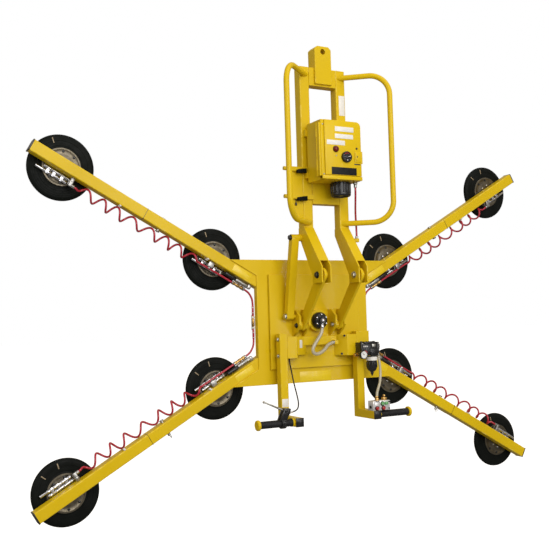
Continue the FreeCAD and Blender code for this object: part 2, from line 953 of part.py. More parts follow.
def build_control_box():
    """The box on the uprights: shell, rails, vacuum generator, horn, door, dial, lamp and latch."""
    wall = d.box_wall
    across = (-box_half, box_half)
    inside = (wall - box_half, box_half - wall)
    shell = cut(
        block(across, (box_front, box_rear), (box_base, box_top)),
        block(inside, (box_front, box_rear - wall), (box_base + wall, box_top - wall)),
    )
    knuckle_x = -box_half - d.door_knuckle_radius
    knuckle_y = box_front + d.door_knuckle_radius
    hinge = (knuckle_x, knuckle_y)
    middle = box_base + d.box_height / 2
    pin_hole = rod("Z", d.door_pin_radius + d.pivot_clearance, box_base, box_top, hinge)
    ears = []
    for level in (box_base + d.door_knuckle_length, box_top - d.door_knuckle_length * 2):
        ears.append(rod("Z", d.door_knuckle_radius, level, level + d.door_knuckle_length, hinge))
        ears.append(block((knuckle_x, -box_half), (knuckle_y - d.door_wall, knuckle_y + d.door_wall),
                          (level, level + d.door_knuckle_length)))
    rail_half = upright_outer - d.rail_end_gap
    rails = [
        block((-rail_half, rail_half), (box_rear, upright_front), (low, low + d.rail_height))
        for low in (box_base + d.rail_inset, box_top - d.rail_inset - d.rail_height)
    ]
    node("box_shell", cut(fuse(shell, *ears), pin_hole), *rails)
    generator_half = d.generator_width / 2
    generator = block(
        (-generator_half, generator_half),
        (box_rear - wall - d.generator_depth, box_rear - wall),
        (middle - d.generator_height / 2, middle + d.generator_height / 2),
    )
    node("vacuum_generator", generator)
    horn_centre = (d.horn_offset, (box_front + box_rear) / 2)
    node("alarm_horn", rod("Z", d.horn_radius, box_base - d.horn_height, box_base, horn_centre))
    build_door(hinge, middle)


def build_door(hinge, middle):
    """The hinged door with its dial and lamp, and the latch on its free edge."""
    wall = d.door_wall
    front = (door_front, box_front - d.door_gap)
    knuckle_x, knuckle_y = hinge
    inside = (wall - box_half, box_half - wall)
    tray = cut(
        block((-box_half, box_half), front, (box_base, box_top)),
        block(inside, (door_front + wall, front[1]), (box_base + wall, box_top - wall)),
    )
    gap = d.side_play
    low = box_base + d.door_knuckle_length * 2 + gap
    high = box_top - d.door_knuckle_length * 2 - gap
    leaf = fuse(
        tray,
        rod("Z", d.door_knuckle_radius, low, high, hinge),
        block((knuckle_x - wall, knuckle_x + wall), (door_front, knuckle_y), (low, high)),
        block((knuckle_x - wall, -box_half), (door_front, door_front + wall), (low, high)),
    )
    pin_ends = (box_base + d.door_knuckle_length, box_top - d.door_knuckle_length)
    pin = rod("Z", d.door_pin_radius, *pin_ends, hinge)
    dial_hole = rod("Y", d.dial_radius / 2, door_front, front[1], (d.dial_offset, dial_height))
    lamp_hole = rod("Y", d.lamp_radius / 2, door_front, front[1], (-d.lamp_offset, lamp_height))
    latch_axis = (box_half + d.latch_radius, door_front + d.door_depth / 2)
    latch_low = latch_centre - d.latch_height / 2
    latch_high = latch_centre + d.latch_height / 2
    ears = []
    for level in (latch_low - d.latch_ear - gap, latch_high + gap):
        height = (level, level + d.latch_ear)
        web = (latch_axis[1] - d.latch_pin_radius, latch_axis[1] + d.latch_pin_radius)
        ears.append(rod("Z", d.latch_radius, *height, latch_axis))
        ears.append(block((box_half, latch_axis[0]), web, height))
    ears.append(rod("Z", d.latch_pin_radius, latch_low - d.latch_ear, latch_high + d.latch_ear, latch_axis))
    node("box_door", fuse(cut(leaf, dial_hole, lamp_hole), pin, *ears))
    plate_inner = box_half + gap
    bore = d.latch_pin_radius + d.pivot_clearance
    knuckle = ring("Z", d.latch_radius - gap, bore, latch_low, latch_high, latch_axis)
    tail = block(
        (plate_inner, plate_inner + d.latch_thickness),
        (latch_axis[1] + d.latch_pin_radius + gap, box_front + d.latch_tail),
        (latch_low, latch_high),
    )
    node("door_latch", fuse(knuckle, tail))
    node(
        "vacuum_gauge",
        fuse(
            rod("Y", d.dial_radius, door_front - d.dial_depth, door_front, (d.dial_offset, dial_height)),
            rod("Y", d.dial_radius / 2, door_front, front[1], (d.dial_offset, dial_height)),
        ),
    )
    node(
        "warning_lamp",
        fuse(
            rod("Y", d.lamp_radius, door_front - d.lamp_depth, door_front, (-d.lamp_offset, lamp_height)),
            rod("Y", d.lamp_radius / 2, door_front, front[1], (-d.lamp_offset, lamp_height)),
        ),
    )


def span(start, end):
    """The distance between two pivots, and the unit direction across their line."""
    run = end[0] - start[0]
    rise = end[1] - start[1]
    squared = run * run + rise * rise
    length = Size(math.sqrt(squared.value), f"sqrt({squared.text})")
    return length, (-rise / length, run / length)


def tapered_bar(start, start_radius, end, end_radius, low, high):
    """A flat bar across X with a round end at each pivot."""
    _, (across_y, across_z) = span(start, end)
    corners = [
        (start[0] + across_y * start_radius, start[1] + across_z * start_radius),
        (end[0] + across_y * end_radius, end[1] + across_z * end_radius),
        (end[0] - across_y * end_radius, end[1] - across_z * end_radius),
        (start[0] - across_y * start_radius, start[1] - across_z * start_radius),
    ]
    return fuse(
        slab("X", corners, low, high),
        rod("X", start_radius, low, high, start),
        rod("X", end_radius, low, high, end),
    )


def build_tilt_linkage():
    """Two tilt arms from the legs to the tilt frame, and the one link that steers its angle."""
    bore = d.pivot_radius + d.pivot_clearance
    half = d.tilt_arm_thickness / 2
    boss_half = cheek_gap / 2 - d.side_play
    boss = (upright_x - boss_half, upright_x + boss_half)
    flat = (upright_x - half, upright_x + half)
    arm = fuse(
        tapered_bar(leg_pivot, d.tilt_arm_top_radius, lug_pivot, d.tilt_arm_foot_radius, *flat),
        rod("X", d.tilt_boss_radius, *boss, leg_pivot),
        rod("X", d.tilt_boss_radius, *boss, lug_pivot),
    )
    arm = cut(arm, rod("X", bore, *boss, leg_pivot), rod("X", bore, *boss, lug_pivot))
    node("tilt_arm_right", arm)
    node("tilt_arm_left", mirrored(arm))
    outer = -link_offset - d.link_width / 2
    inner = d.link_width / 2 - link_offset
    lug_face = -upright_x - cheek_gap / 2 - d.lug_thickness
    half_depth = d.link_depth / 2
    bar = tapered_bar(link_top, half_depth, link_foot, half_depth, outer, inner)
    bar = cut(bar, rod("X", bore, outer, inner, link_top))
    stub = rod("X", d.link_stub_radius, inner, lug_face - d.side_play, link_foot)
    head = hexagon("X", d.link_stub_head, outer - d.link_stub_head_height, outer, link_foot)
    node("tilt_link", fuse(bar, stub, head))


def build_tilt_frame():
    """The rotator plate with its lugs, brackets, bearing and rotary union."""
    half_width = d.rotator_width / 2
    half_height = d.rotator_height / 2
    lock_centre = (-d.lock_offset, -d.lock_drop)
    plate = fuse(
        block((-half_width, half_width), (rotator_front, rotator_back), (-half_height, half_height)),
        rod("Y", d.lock_guide_radius, lock_guide_front, rotator_front, lock_centre),
    )
    bearing_hole = rod("Y", d.bearing_radius + d.hub_clearance, rotator_front, rotator_back, (0, 0))
    lock_hole = rod("Y", d.lock_radius + d.pivot_clearance, lock_guide_front, rotator_back, lock_centre)
    node("rotator_plate", cut(plate, bearing_hole, lock_hole))
    lock_back = plate_front - d.lock_play
    node("lock_plunger", rod("Y", d.lock_radius, lock_back - d.lock_length, lock_back, lock_centre))
    build_brackets()
    bearing_front = rotator_front - d.bearing_length
    bearing_bore = d.hub_radius + d.hub_clearance
    node("hub_bearing", ring("Y", d.bearing_radius, bearing_bore, bearing_front, rotator_back, (0, 0)))
    node(
        "rotary_union",
        fuse(
            rod("Y", d.union_radius, union_front, bearing_front, (0, 0)),
            rod("Y", d.union_nose_radius, union_front - d.union_nose_length, union_front, (0, 0)),
            rod("Z", d.nipple_radius, nipple_base, 0, (0, nose_middle)),
        ),
    )


def build_brackets():
    """Pivot lugs, handle brackets and the cross member, all welded to the rotator plate."""
    lug_y, lug_z = lug_pivot
    nose = lug_y - d.lug_nose
    points = [
        (rotator_front, -d.lug_drop),
        (lug_y, lug_z - d.lug_nose),
        (nose, lug_z),
        (nose, d.link_foot_height),
        (link_foot[0], d.lug_rise),
        (rotator_front, d.lug_rise),
    ]
    half_gap = cheek_gap / 2
    outer_lug = (upright_x + half_gap, upright_x + half_gap + d.lug_thickness)
    inner_lug = (upright_x - half_gap - d.lug_thickness, upright_x - half_gap)
    hole = rod("X", d.pivot_radius + d.pivot_clearance, inner_lug[0], outer_lug[1], lug_pivot)
    lugs = [cut(slab("X", points, *bounds), hole) for bounds in (inner_lug, outer_lug)]
    wall = d.bracket_wall
    face = post_inner - d.bracket_face
    root = face - d.bracket_slope
    low = -d.bracket_drop - d.bracket_height
    front = -post_front
    outside = [(post_inner, front), (face, front), (root, rotator_front), (post_inner, rotator_front)]
    inside = [
        (post_inner - wall, front + wall),
        (face + wall, front + wall),
        (root + wall, rotator_front),
        (post_inner - wall, rotator_front),
    ]
    sheet_metal = cut(slab("Z", outside, low, -d.bracket_drop), slab("Z", inside, low, -d.bracket_drop))
    post_y = -post_front + d.post_tube / 2
    bolt_holes = [
        rod("X", d.post_bolt_radius + d.pivot_clearance, post_inner - wall, post_outer, (post_y, -drop))
        for drop in post_bolt_drops
    ]
    bracket = cut(sheet_metal, *bolt_holes)
    cross = hollow((-root, root), (cross_front, rotator_front), (cross_base, cross_top), d.cross_wall, "X")
    port = block(
        (d.union_port_offset, d.union_port_offset + d.nipple_length),
        (cross_front - d.nipple_length, cross_front),
        (cross_base, cross_base + d.nipple_radius * 2),
    )
    node("tilt_brackets", *lugs, *[mirrored(lug) for lug in lugs], bracket, mirrored(bracket), cross, port)
    pivot_bolt = (d.pivot_radius, d.bolt_head_radius, d.bolt_head_height)
    lug_bolt = bolt("X", *pivot_bolt, inner_lug[0], outer_lug[1], lug_pivot)
    small_bolt = (d.post_bolt_radius, d.post_bolt_head, d.post_bolt_head_height)
    post_bolts = [
        bolt("X", *small_bolt, post_inner - wall, post_outer, (post_y, -drop))
        for drop in post_bolt_drops
    ]
    right = [lug_bolt, *post_bolts]
    node("tilt_frame_bolts", *right, *[mirrored(piece) for piece in right])


def build_handles():
    """The two posts, their feet, handle bars, grips and caps, and the release lever on the left."""
    across = (post_inner, post_outer)
    post = hollow(across, (-post_front, post_rear), (foot_top, -d.post_top_drop), d.post_wall, "Z")
    foot = hollow(across, (-foot_front, post_rear), (foot_base, foot_top), d.post_wall, "Y")
    post_y = -post_front + d.post_tube / 2
    holes = [
        rod("X", d.post_bolt_radius + d.pivot_clearance, post_inner, post_outer, (post_y, -drop))
        for drop in post_bolt_drops
    ]
    handle = cut(fuse(post, foot), *holes)
    # The angle that carries the filter-regulator beside the right post.
    edge = post_outer + d.regulator_bracket_width
    level = (-d.post_top_drop - d.regulator_bracket_length, -d.post_top_drop)
    sheet = d.regulator_bracket_wall
    angle = fuse(
        block((post_outer, edge), (-post_front, sheet - post_front), level),
        block((edge - sheet, edge), (-post_front, post_rear), level),
    )
    node("post_right", fuse(handle, angle))
    node("post_left", mirrored(handle))
    centre = (-grip_front, -d.foot_drop)
    sleeve_start = post_outer + d.grip_ring_length
    sleeve_end = sleeve_start + d.grip_length
    bar = fuse(
        rod("X", d.grip_cap_radius, post_outer, sleeve_start, centre),
        rod("X", d.grip_bar_radius, post_outer, sleeve_end, centre),
        rod("X", d.grip_cap_radius, sleeve_end, sleeve_end + d.grip_cap_length, centre),
    )
    sleeve_bore = d.grip_bar_radius + d.grip_clearance
    sleeve = ring("X", d.grip_radius, sleeve_bore, sleeve_start, sleeve_end, centre)
    cap = block(across, (-foot_front - d.foot_cap_length, -foot_front), (foot_base, foot_top))
    node("handle_bars", bar, mirrored(bar))
    node("handle_grips", sleeve, mirrored(sleeve), cap, mirrored(cap))
    build_lever(centre)


def build_lever(centre):
    """A clamp on the left grip that carries the release lever on a cross pin."""
    half = d.lever_mount_width / 2
    bounds = (-lever_offset - half, half - lever_offset)
    depth = d.lever_mount_depth / 2
    base = centre[1] + d.grip_radius + d.grip_clearance
    top = centre[1] + d.lever_mount_height
    pivot_z = lever_pivot_height
    clamp = fuse(
        ring("X", d.grip_radius + d.lever_clamp_wall, d.grip_radius + d.grip_clearance, *bounds, centre),
        block(bounds, (centre[0] - depth, centre[0] + depth), (base, top)),
    )
    slot_half = d.lever_root_width / 2 + d.side_play
    slot_base = pivot_z - d.lever_root_radius - d.side_play
    slot_depth = (centre[0] - slot_half, centre[0] + slot_half)
    slot = block((bounds[0], bounds[1] - d.lever_root_radius), slot_depth, (slot_base, top))
    pin = rod("Y", d.lever_pin_radius, centre[0] - depth, centre[0] + depth, (-lever_offset, pivot_z))
    node("lever_mount", fuse(cut(clamp, slot), pin))
    reach = (centre[0] - d.lever_root_width / 2, centre[0] + d.lever_root_width / 2)
    pivot = (-lever_offset, pivot_z)
    root = rod("Y", d.lever_root_radius, *reach, pivot)
    blade = doc.addObject("Part::Cylinder", "blade")
    bind(blade, "Radius", d.lever_rod_radius)
    bind(blade, "Height", d.lever_rod_length)
    blade.Placement.Rotation = FreeCAD.Rotation(Vector(0, -1, 0), 90 - d.lever_angle.value)
    bind(blade, "Placement.Rotation.Angle", 90 - d.lever_angle)
    place(blade, -lever_offset, centre[0], pivot_z)
    bore = rod("Y", d.lever_pin_radius + d.pivot_clearance, *reach, pivot)
    node("release_lever", cut(fuse(root, blade), bore))


def build_air_unit():
    """The filter-regulator on the right post, and the valve block and its buttons on the right foot."""
    front = -post_front - d.regulator_depth
    middle = regulator_middle
    base = regulator_top - d.regulator_height
    left = regulator_right - d.regulator_width
    inlet_centre = (middle, regulator_top - d.inlet_gap)
    outlet_base = regulator_top - d.outlet_gap
    body = fuse(
        block((left, regulator_right), (front, -post_front), (base, regulator_top)),
        rod("X", d.inlet_radius, left - d.inlet_length, left, inlet_centre),
        block(
            (regulator_right, regulator_right + d.nipple_radius * 2),
            (middle - d.nipple_radius, middle + d.nipple_radius),
            (outlet_base, outlet_base + d.nipple_length),
        ),
    )
    bore = rod("X", d.inlet_bore, left - d.inlet_length, left, inlet_centre)
    node("filter_regulator", cut(body, bore))
    bowl_base = base - d.bowl_length
    bowl_centre = (regulator_offset + d.bowl_reach, middle)
    node(
        "filter_bowl",
        fuse(
            rod("Z", d.bowl_radius, bowl_base, base, bowl_centre),
            rod("Z", d.bowl_drain_radius, bowl_base - d.bowl_drain_length, bowl_base, bowl_centre),
        ),
    )
    gauge_centre = (regulator_offset - d.gauge_reach, regulator_top - d.gauge_gap)
    node("pressure_gauge", rod("Y", d.gauge_radius, front - d.gauge_depth, front, gauge_centre))
    half_width = d.valve_width / 2
    half_depth = d.valve_depth / 2
    valve_y = -grip_front
    valve_front = valve_y - half_depth
    attach_centre = (valve_offset + d.attach_reach, foot_top + d.attach_rise)
    release_centre = (valve_offset - d.release_reach, foot_top + d.release_rise)
    hole = d.button_radius + d.button_clearance
    sink = (valve_front, valve_front + d.button_length)
    valve_width = (valve_offset - half_width, valve_offset + half_width)
    block_shape = cut(
        block(valve_width, (valve_front, valve_y + half_depth), (foot_top, valve_top)),
        rod("Y", hole, *sink, attach_centre),
        rod("Y", hole, *sink, release_centre),
    )
    node("valve_block", block_shape)
    button_front = valve_front - d.button_stand
    button = (button_front, button_front + d.button_length)
    node("attach_button", rod("Y", d.button_radius, *button, attach_centre))
    node("release_button", rod("Y", d.button_radius, *button, release_centre))


def build_pad_frame():
    """The turning plate with its hub, four inner arms, four pinned extension arms and the pins."""
    half_width = d.plate_width / 2
    half_height = d.plate_height / 2
    thick = d.plate_thickness
    arm_bounds = ((arm_front, arm_rear), (arm_low, arm_high))
    across = (-half_width, half_width)
    upright = (-half_height, half_height)
    ear_tip = half_width + d.plate_ear
    rim = (plate_back, plate_front + d.plate_flange_depth)
    top_rim = block((-ear_tip, ear_tip), rim, (half_height - thick, half_height))
    side_rim = block((half_width - thick, half_width), rim, (-d.plate_side / 2, d.plate_side / 2))
    flange = fuse(top_rim, mirrored(top_rim, "Z"), side_rim, mirrored(side_rim))
    notches = four_ways(on_arm(block((d.arm_root, d.arm_seam), *arm_bounds))).values()
    plate = block(across, (plate_front, plate_back), upright)
    below = (arm_low - d.arm_tube, arm_high - d.plate_ear_lap)
    ear = cut(
        block((half_width, ear_tip), (plate_front, plate_back), (half_height - d.plate_ear_drop, half_height)),
        on_arm(block((d.arm_root, d.arm_seam), (plate_front, plate_back), below)),
    )
    node("pad_frame_plate", fuse(plate, *four_ways(ear).values(), cut(flange, *notches)))
    spindle_end = rotator_front - d.bearing_length + d.side_play
    node(
        "hub_spindle",
        fuse(
            rod("Y", d.hub_flange_radius, plate_front - d.hub_flange_thickness, plate_front, (0, 0)),
            rod("Y", d.hub_radius, spindle_end, plate_front, (0, 0)),
        ),
    )
    wall = d.arm_wall
    pin_centre = (pin_station, (arm_front + arm_rear) / 2)
    pin_hole = rod("Z", d.pin_radius + d.pin_clearance, arm_low, arm_high, pin_centre)
    inner_tube = hollow((d.arm_root, d.arm_seam), *arm_bounds, wall, "X")
    inner_arm = fuse(inner_tube, pad_guide(d.pad_inner_station))
    inner_arm = cut(inner_arm, pin_hole, stem_hole(d.pad_inner_station))
    node("inner_arms", *four_ways(on_arm(inner_arm)).values())
    slack = wall + d.spigot_clearance
    core = ((arm_front + slack, arm_rear - slack), (arm_low + slack, arm_high - slack))
    fill = ((arm_front + wall, arm_rear - wall), (arm_low + wall, arm_high - wall))
    extension = fuse(
        hollow((d.arm_seam, d.arm_end), *arm_bounds, wall, "X"),
        hollow((d.arm_seam - d.spigot_length, d.arm_seam), *core, d.spigot_wall, "X"),
        block((d.arm_seam, d.arm_seam + wall), *fill),
        block((d.arm_end - wall, d.arm_end), *fill),
        pad_guide(d.pad_outer_station),
    )
    extension = cut(extension, pin_hole, stem_hole(d.pad_outer_station))
    node("extension_arms", *four_ways(on_arm(extension)).values())
    head_start = arm_high
    # The pin's foot stops short of the coil hose beside the arm.
    foot_end = d.arm_offset - d.hose_offset + d.coil_radius + d.hose_radius + d.pin_hose_gap
    pin = fuse(
        rod("Z", d.pin_radius, foot_end, head_start, pin_centre),
        rod("Z", d.pin_head_radius, head_start, head_start + d.pin_head_length, pin_centre),
    )
    node("arm_pins", *four_ways(on_arm(pin)).values())


def pad_guide(station):
    """The bush inside an arm that guides one pad's stem."""
    seat = arm_rear - d.arm_wall
    return rod("Y", d.pad_guide_radius, seat - d.pad_guide_length, seat, (station, d.arm_offset))


def stem_hole(station):
    """The hole through an arm's rear wall and bush for one pad's stem."""
    depth = d.arm_wall + d.pad_guide_length
    bore = d.pad_stem_radius + d.pad_stem_clearance
    return rod("Y", bore, arm_rear - depth, arm_rear, (station, d.arm_offset))


def build_pads():
    """Eight vacuum pads, each a rubber ring on a metal plate whose stem slides in the arm."""
    edge = d.pad_radius
    lip = -d.pad_lip_depth
    back = -d.pad_depth
    plate_back_face = back - d.pad_plate_thickness
    stem_end = plate_back_face - d.pad_stem_length
    seat = d.pad_plate_radius - d.pad_lip_width
    flare = edge - d.pad_lip_width
    for ring_name, station in (("inner", d.pad_inner_station), ("outer", d.pad_outer_station)):
        rubber = lathe(
            "Y",
            [
                (d.pad_bore, lip),
                (flare - d.pad_shoulder, lip),
                (flare, 0),
                (edge, 0),
                (edge, lip),
                (edge - d.pad_shoulder, back + d.pad_lip_width / 2),
                (seat, back),
                (d.pad_bore, back),
            ],
            x=station, z=d.arm_offset,
        )
        plate = lathe(
            "Y",
            [(0, back), (d.pad_plate_radius, back), (d.pad_plate_radius, plate_back_face),
             (d.pad_stem_radius, plate_back_face), (d.pad_stem_radius, stem_end), (0, stem_end)],
            x=station, z=d.arm_offset,
        )
        for corner, shape in four_ways(on_arm(rubber, plate)).items():
            node(f"pad_{corner}_{ring_name}", shape)


def build_hoses():
    """Coil hoses beside the arms, hoses along the plate's edges, and the hoses of the frames."""
    across = d.arm_offset - d.hose_offset
    half = d.elbow_width / 2
    depth = (-hose_front - half, half - hose_front)
    connector = fuse(
        rod("X", d.connector_radius, d.connector_start, connector_end, (-hose_front, across)),
        block((connector_end - d.elbow_width, connector_end), depth, (across, arm_low)),
    )
    elbow = block((elbow_station - half, elbow_station + half), depth, (across - half, arm_low))
    tee_reach = (d.pad_inner_station, d.pad_inner_station + d.elbow_width)
    tee = block(tee_reach, depth, (across + d.hose_radius + d.side_play, arm_low))
    fittings = four_ways(on_arm(connector, elbow, tee)).values()
    half_plate = d.plate_width / 2
    manifold = block(
        (half_plate, half_plate + d.manifold_width),
        (-hose_front - d.manifold_depth / 2, d.manifold_depth / 2 - hose_front),
        (-d.manifold_height / 2, d.manifold_height / 2),
    )
    node("hose_fittings", *fittings, manifold, mirrored(manifold))
    node("coil_hoses", *four_ways(on_arm(coil_hose())).values())
    angle = math.radians(d.arm_angle.value)
    start = d.connector_start.value
    offset = across.value
    outward = Vector(math.cos(angle), 0, math.sin(angle))
    sideways = Vector(-math.sin(angle), 0, math.cos(angle))
    root = outward * start + sideways * offset
    lane = half_plate.value + d.manifold_width.value / 2
    end = d.manifold_height.value / 2
    level = -hose_front.value
    first = root - outward * EDGE_HOSE_LEAD
    drop = first.z - end
    points = [(root.x, level, root.z), (first.x, level, first.z)]
    points += [(lane + (first.x - lane) * over, level, end + drop * down) for over, down in EDGE_HOSE_BEND]
    points.append((lane, level, end))
    edge_hose = hose("edge hose", points, d.hose_radius.value)
    node("edge_hoses", *four_ways(edge_hose).values())
    build_frame_hoses()


def build_frame_hoses():
    """The hoses of the lift and tilt frames, and the cable from the release lever to the lock."""
    drop = d.nipple_length
    box_port = (box_half - d.box_port_inset, box_front + d.box_port_front)
    box_nipple = rod("Z", d.nipple_radius, box_base - drop, box_base, box_port)
    leg_y = upright_front - d.leg_port_front
    leg_z = kink_height - d.leg_port_drop
    leg_x = upright_outer + d.leg_port_reach
    leg_elbow = fuse(
        block(
            (leg_x - d.nipple_radius, leg_x + d.nipple_radius),
            (leg_y - d.nipple_radius, leg_y + d.nipple_radius),
            (leg_z - drop, leg_z),
        ),
        rod("X", d.nipple_radius * LEG_NIPPLE_SHARE, upright_outer, leg_x, (leg_y, leg_z - drop / 2)),
    )
    leg_port = (leg_x, leg_y, leg_z)
    box_route = stretched(BOX_HOSE_ROUTE, (*box_port, box_base - drop), leg_port)
    node("box_hose", hose("box hose", box_route, d.hose_radius.value), box_nipple, leg_elbow)
    cross_port = (d.union_port_offset, cross_front - drop / 2, cross_base + d.nipple_radius)
    union_route = stretched(UNION_HOSE_ROUTE, (0, nose_middle, nipple_base), cross_port)
    node("union_hose", hose("union hose", union_route, d.union_hose_radius.value))
    outlet = (regulator_right + d.nipple_radius, regulator_middle, regulator_top - d.outlet_gap)
    valve_port = (valve_offset - d.valve_port_inset, -grip_front, valve_top)
    supply_route = stretched(SUPPLY_HOSE_ROUTE, outlet, valve_port)
    node("supply_hose", hose("supply hose", supply_route, d.supply_hose_radius.value))
    cable_start = (d.lever_mount_width / 2 - lever_offset, -grip_front, lever_pivot_height - d.cable_drop)
    guide_middle = (lock_guide_front + rotator_front) / 2
    cable_end = (-d.lock_offset, guide_middle, -d.lock_drop - d.lock_guide_radius)
    cable_route = stretched(LOCK_CABLE_ROUTE, cable_start, cable_end)
    node("lock_cable", hose("lock cable", cable_route, d.cable_radius.value))


def check_and_write():
    """Refuse a failed object or an empty shape, then write each node to its own file."""
    doc.recompute()
    for item in doc.Objects:
        if {"Invalid", "Error"} & set(item.State):
            raise RuntimeError(f"{item.Name} failed: {item.State}")
    for item in nodes:
        if item.Shape.isNull() or not item.Shape.isValid() or not item.Shape.Solids:
            raise RuntimeError(f"{item.Label} has no valid shape")
    os.makedirs("parts", exist_ok=True)
    for item in nodes:
        item.Shape.exportStep(f"parts/{item.Label}.step")
    print(f"{len(nodes)} nodes, {sum(len(item.Shape.Solids) for item in nodes)} solids")


build_lift_frame()
build_control_box()
build_tilt_linkage()
build_tilt_frame()
build_handles()
build_air_unit()
build_pad_frame()
build_pads()
build_hoses()
check_and_write()
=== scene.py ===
"""Looks of the vacuum glass panel lifter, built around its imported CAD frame.

Sizes and places are millimetres about the hub: X to the operator's right, Y towards the glass with the pad
lips at 0, and Z up. `hub` turns them into the part's own frame in metres. Pieces of the arms are drawn in an
arm's own axes: along it, across it away from its hose, and towards the glass.
"""

from __future__ import annotations

import json
import logging
import math
from dataclasses import dataclass, field
from enum import Enum

import bmesh
import bpy
from mathutils import Matrix, Vector

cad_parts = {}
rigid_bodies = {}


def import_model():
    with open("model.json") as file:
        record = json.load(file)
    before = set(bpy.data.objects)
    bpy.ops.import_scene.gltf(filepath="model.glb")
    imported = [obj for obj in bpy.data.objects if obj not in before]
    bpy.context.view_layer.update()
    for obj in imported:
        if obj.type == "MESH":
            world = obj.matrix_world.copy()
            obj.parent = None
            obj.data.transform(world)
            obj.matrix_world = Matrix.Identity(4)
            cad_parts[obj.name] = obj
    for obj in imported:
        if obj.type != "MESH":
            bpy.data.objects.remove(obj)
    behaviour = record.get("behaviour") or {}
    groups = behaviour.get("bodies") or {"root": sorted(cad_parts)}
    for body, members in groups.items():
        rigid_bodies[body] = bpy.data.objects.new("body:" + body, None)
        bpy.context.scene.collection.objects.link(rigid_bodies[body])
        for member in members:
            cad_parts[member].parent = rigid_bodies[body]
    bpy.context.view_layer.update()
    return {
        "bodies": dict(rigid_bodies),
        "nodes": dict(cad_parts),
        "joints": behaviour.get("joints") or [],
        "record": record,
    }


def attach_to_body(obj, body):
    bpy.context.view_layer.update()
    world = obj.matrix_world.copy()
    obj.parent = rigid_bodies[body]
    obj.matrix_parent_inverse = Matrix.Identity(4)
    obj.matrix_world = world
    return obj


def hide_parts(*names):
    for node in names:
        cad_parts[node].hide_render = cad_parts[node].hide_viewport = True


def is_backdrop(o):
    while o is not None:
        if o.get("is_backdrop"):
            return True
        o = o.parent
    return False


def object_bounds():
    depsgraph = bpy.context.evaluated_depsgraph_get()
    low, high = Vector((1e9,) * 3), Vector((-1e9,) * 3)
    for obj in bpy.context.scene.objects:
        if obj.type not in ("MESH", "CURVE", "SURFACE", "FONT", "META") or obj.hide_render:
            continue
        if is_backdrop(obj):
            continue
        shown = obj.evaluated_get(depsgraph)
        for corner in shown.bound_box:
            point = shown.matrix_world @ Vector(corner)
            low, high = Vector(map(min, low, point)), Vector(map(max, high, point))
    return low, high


log = logging.getLogger("lifter")

Pair = tuple[float, float]
Point = tuple[float, float, float]
Profile = list[Pair]
Span = tuple[float, ...]
Socket = bpy.types.NodeSocket

# Sizes and places that several classes share: millimetres about the hub or along an arm, and the arms' angle
FRAME_BACK = 206.0
EYE_HEIGHT = 1232.0
ARM_ANGLE = math.radians(29.3)
ARM_MIDDLE = 19.0
HOSE_ACROSS = -38.0
HOSE_DEPTH = -59.0
HOSE_LINE = (HOSE_ACROSS, HOSE_DEPTH)
HOSE_CONNECTOR = 375.0
HOSE_ELBOW = 1263.0
HOSE_LANE = 304.0
POST_INNER = 185.0
POST_OUTER = 223.0
WASHER = 1.6

# Angles past which an edge is shaded sharp, and past which a new shape's edge is bevelled
SHARP_ANGLE = math.radians(32)
EASED_ANGLE = 0.6

# Values that finishes share: depths in metres, scales per metre
GRAIN_DEPTH = 0.0006
WAVE_DEPTH = 0.004
WAVE_SCALE = 9.0
WAVE_STRETCH = (1.0, 1.0, 0.4)
COAT_ROUGHNESS = 0.06
ROUGHNESS_RANGE = (0.78, 1.25)
CLOUD_SHARE = 3.1
NOISE_RANGE = (0.32, 0.68)
THREAD_SCALE = 95
THREAD_LEAN = 0.8
THREAD_TWIST = 0.4
THREAD_SHADE = 0.5
# Noise that breaks up the lighter edge colour, which is partly wear and partly painted highlight
EDGE_BREAKUP_SCALE = 38
EDGE_BREAKUP_RANGE = (-0.6, 0.8)

# Directions in the part's frame, then in an arm's own axes, then the left bracket's web
RIGHT = Vector((1, 0, 0))
LEFT = Vector((-1, 0, 0))
FRONT = Vector((0, -1, 0))
UP = Vector((0, 0, 1))
DOWN = Vector((0, 0, -1))
ARM_FRONT = Vector((0, 0, -1))
ARM_ALONG = Vector((1, 0, 0))
ARM_ACROSS = Vector((0, 1, 0))
WEB_FRONT = Vector((29, -61, 0)).normalized()

# Slanted way along which a mesh's vertices are put in order
ORDER_WAY = Vector((1, math.sqrt(2), math.sqrt(5)))


class Axis(Enum):
    """The axes of a drawing, as places in a point."""

    X = 0
    Y = 1
    Z = 2


class Grain(Enum):
    """The small-scale texture of a finish, with its noise scale and how far it is stretched."""

    ENAMEL = (240.0, (1, 1, 1))
    RUBBER = (420.0, (1, 1, 1))
    BRUSHED = (70.0, (16, 1, 1))
    MOULDED = (900.0, (1, 1, 1))
    SMOOTH = (110.0, (1, 1, 1))
    BRAID = (320.0, (1, 1, 1))


class Corner(Enum):
    """The four arms, as the signs of X and Z."""

    UPPER_RIGHT = (1, 1)
    UPPER_LEFT = (-1, 1)
    LOWER_RIGHT = (1, -1)
    LOWER_LEFT = (-1, -1)

    @property
    def label(self) -> str:
        """The corner's name as the CAD nodes spell it."""
        return self.name.lower()


def hub(x: float, y: float, z: float) -> Vector:
    """Turn millimetres about the hub into metres in the part's frame."""
    return Vector((x / 1000, (y + FRAME_BACK) / 1000, (z - EYE_HEIGHT) / 1000))


HUB_FRAME = Matrix.Translation(hub(0, 0, 0)) @ Matrix.Scale(0.001, 4)
UPRIGHT_FRAME = HUB_FRAME @ Matrix.Rotation(math.radians(90), 4, "X")


def facing(centre: Vector, direction: Vector) -> Matrix:
    """Make the matrix that puts a piece drawn along +Z at a centre and lays it on a direction."""
    turn = direction.to_track_quat("Z", "Y").to_matrix().to_4x4()
    return Matrix.Translation(centre) @ turn


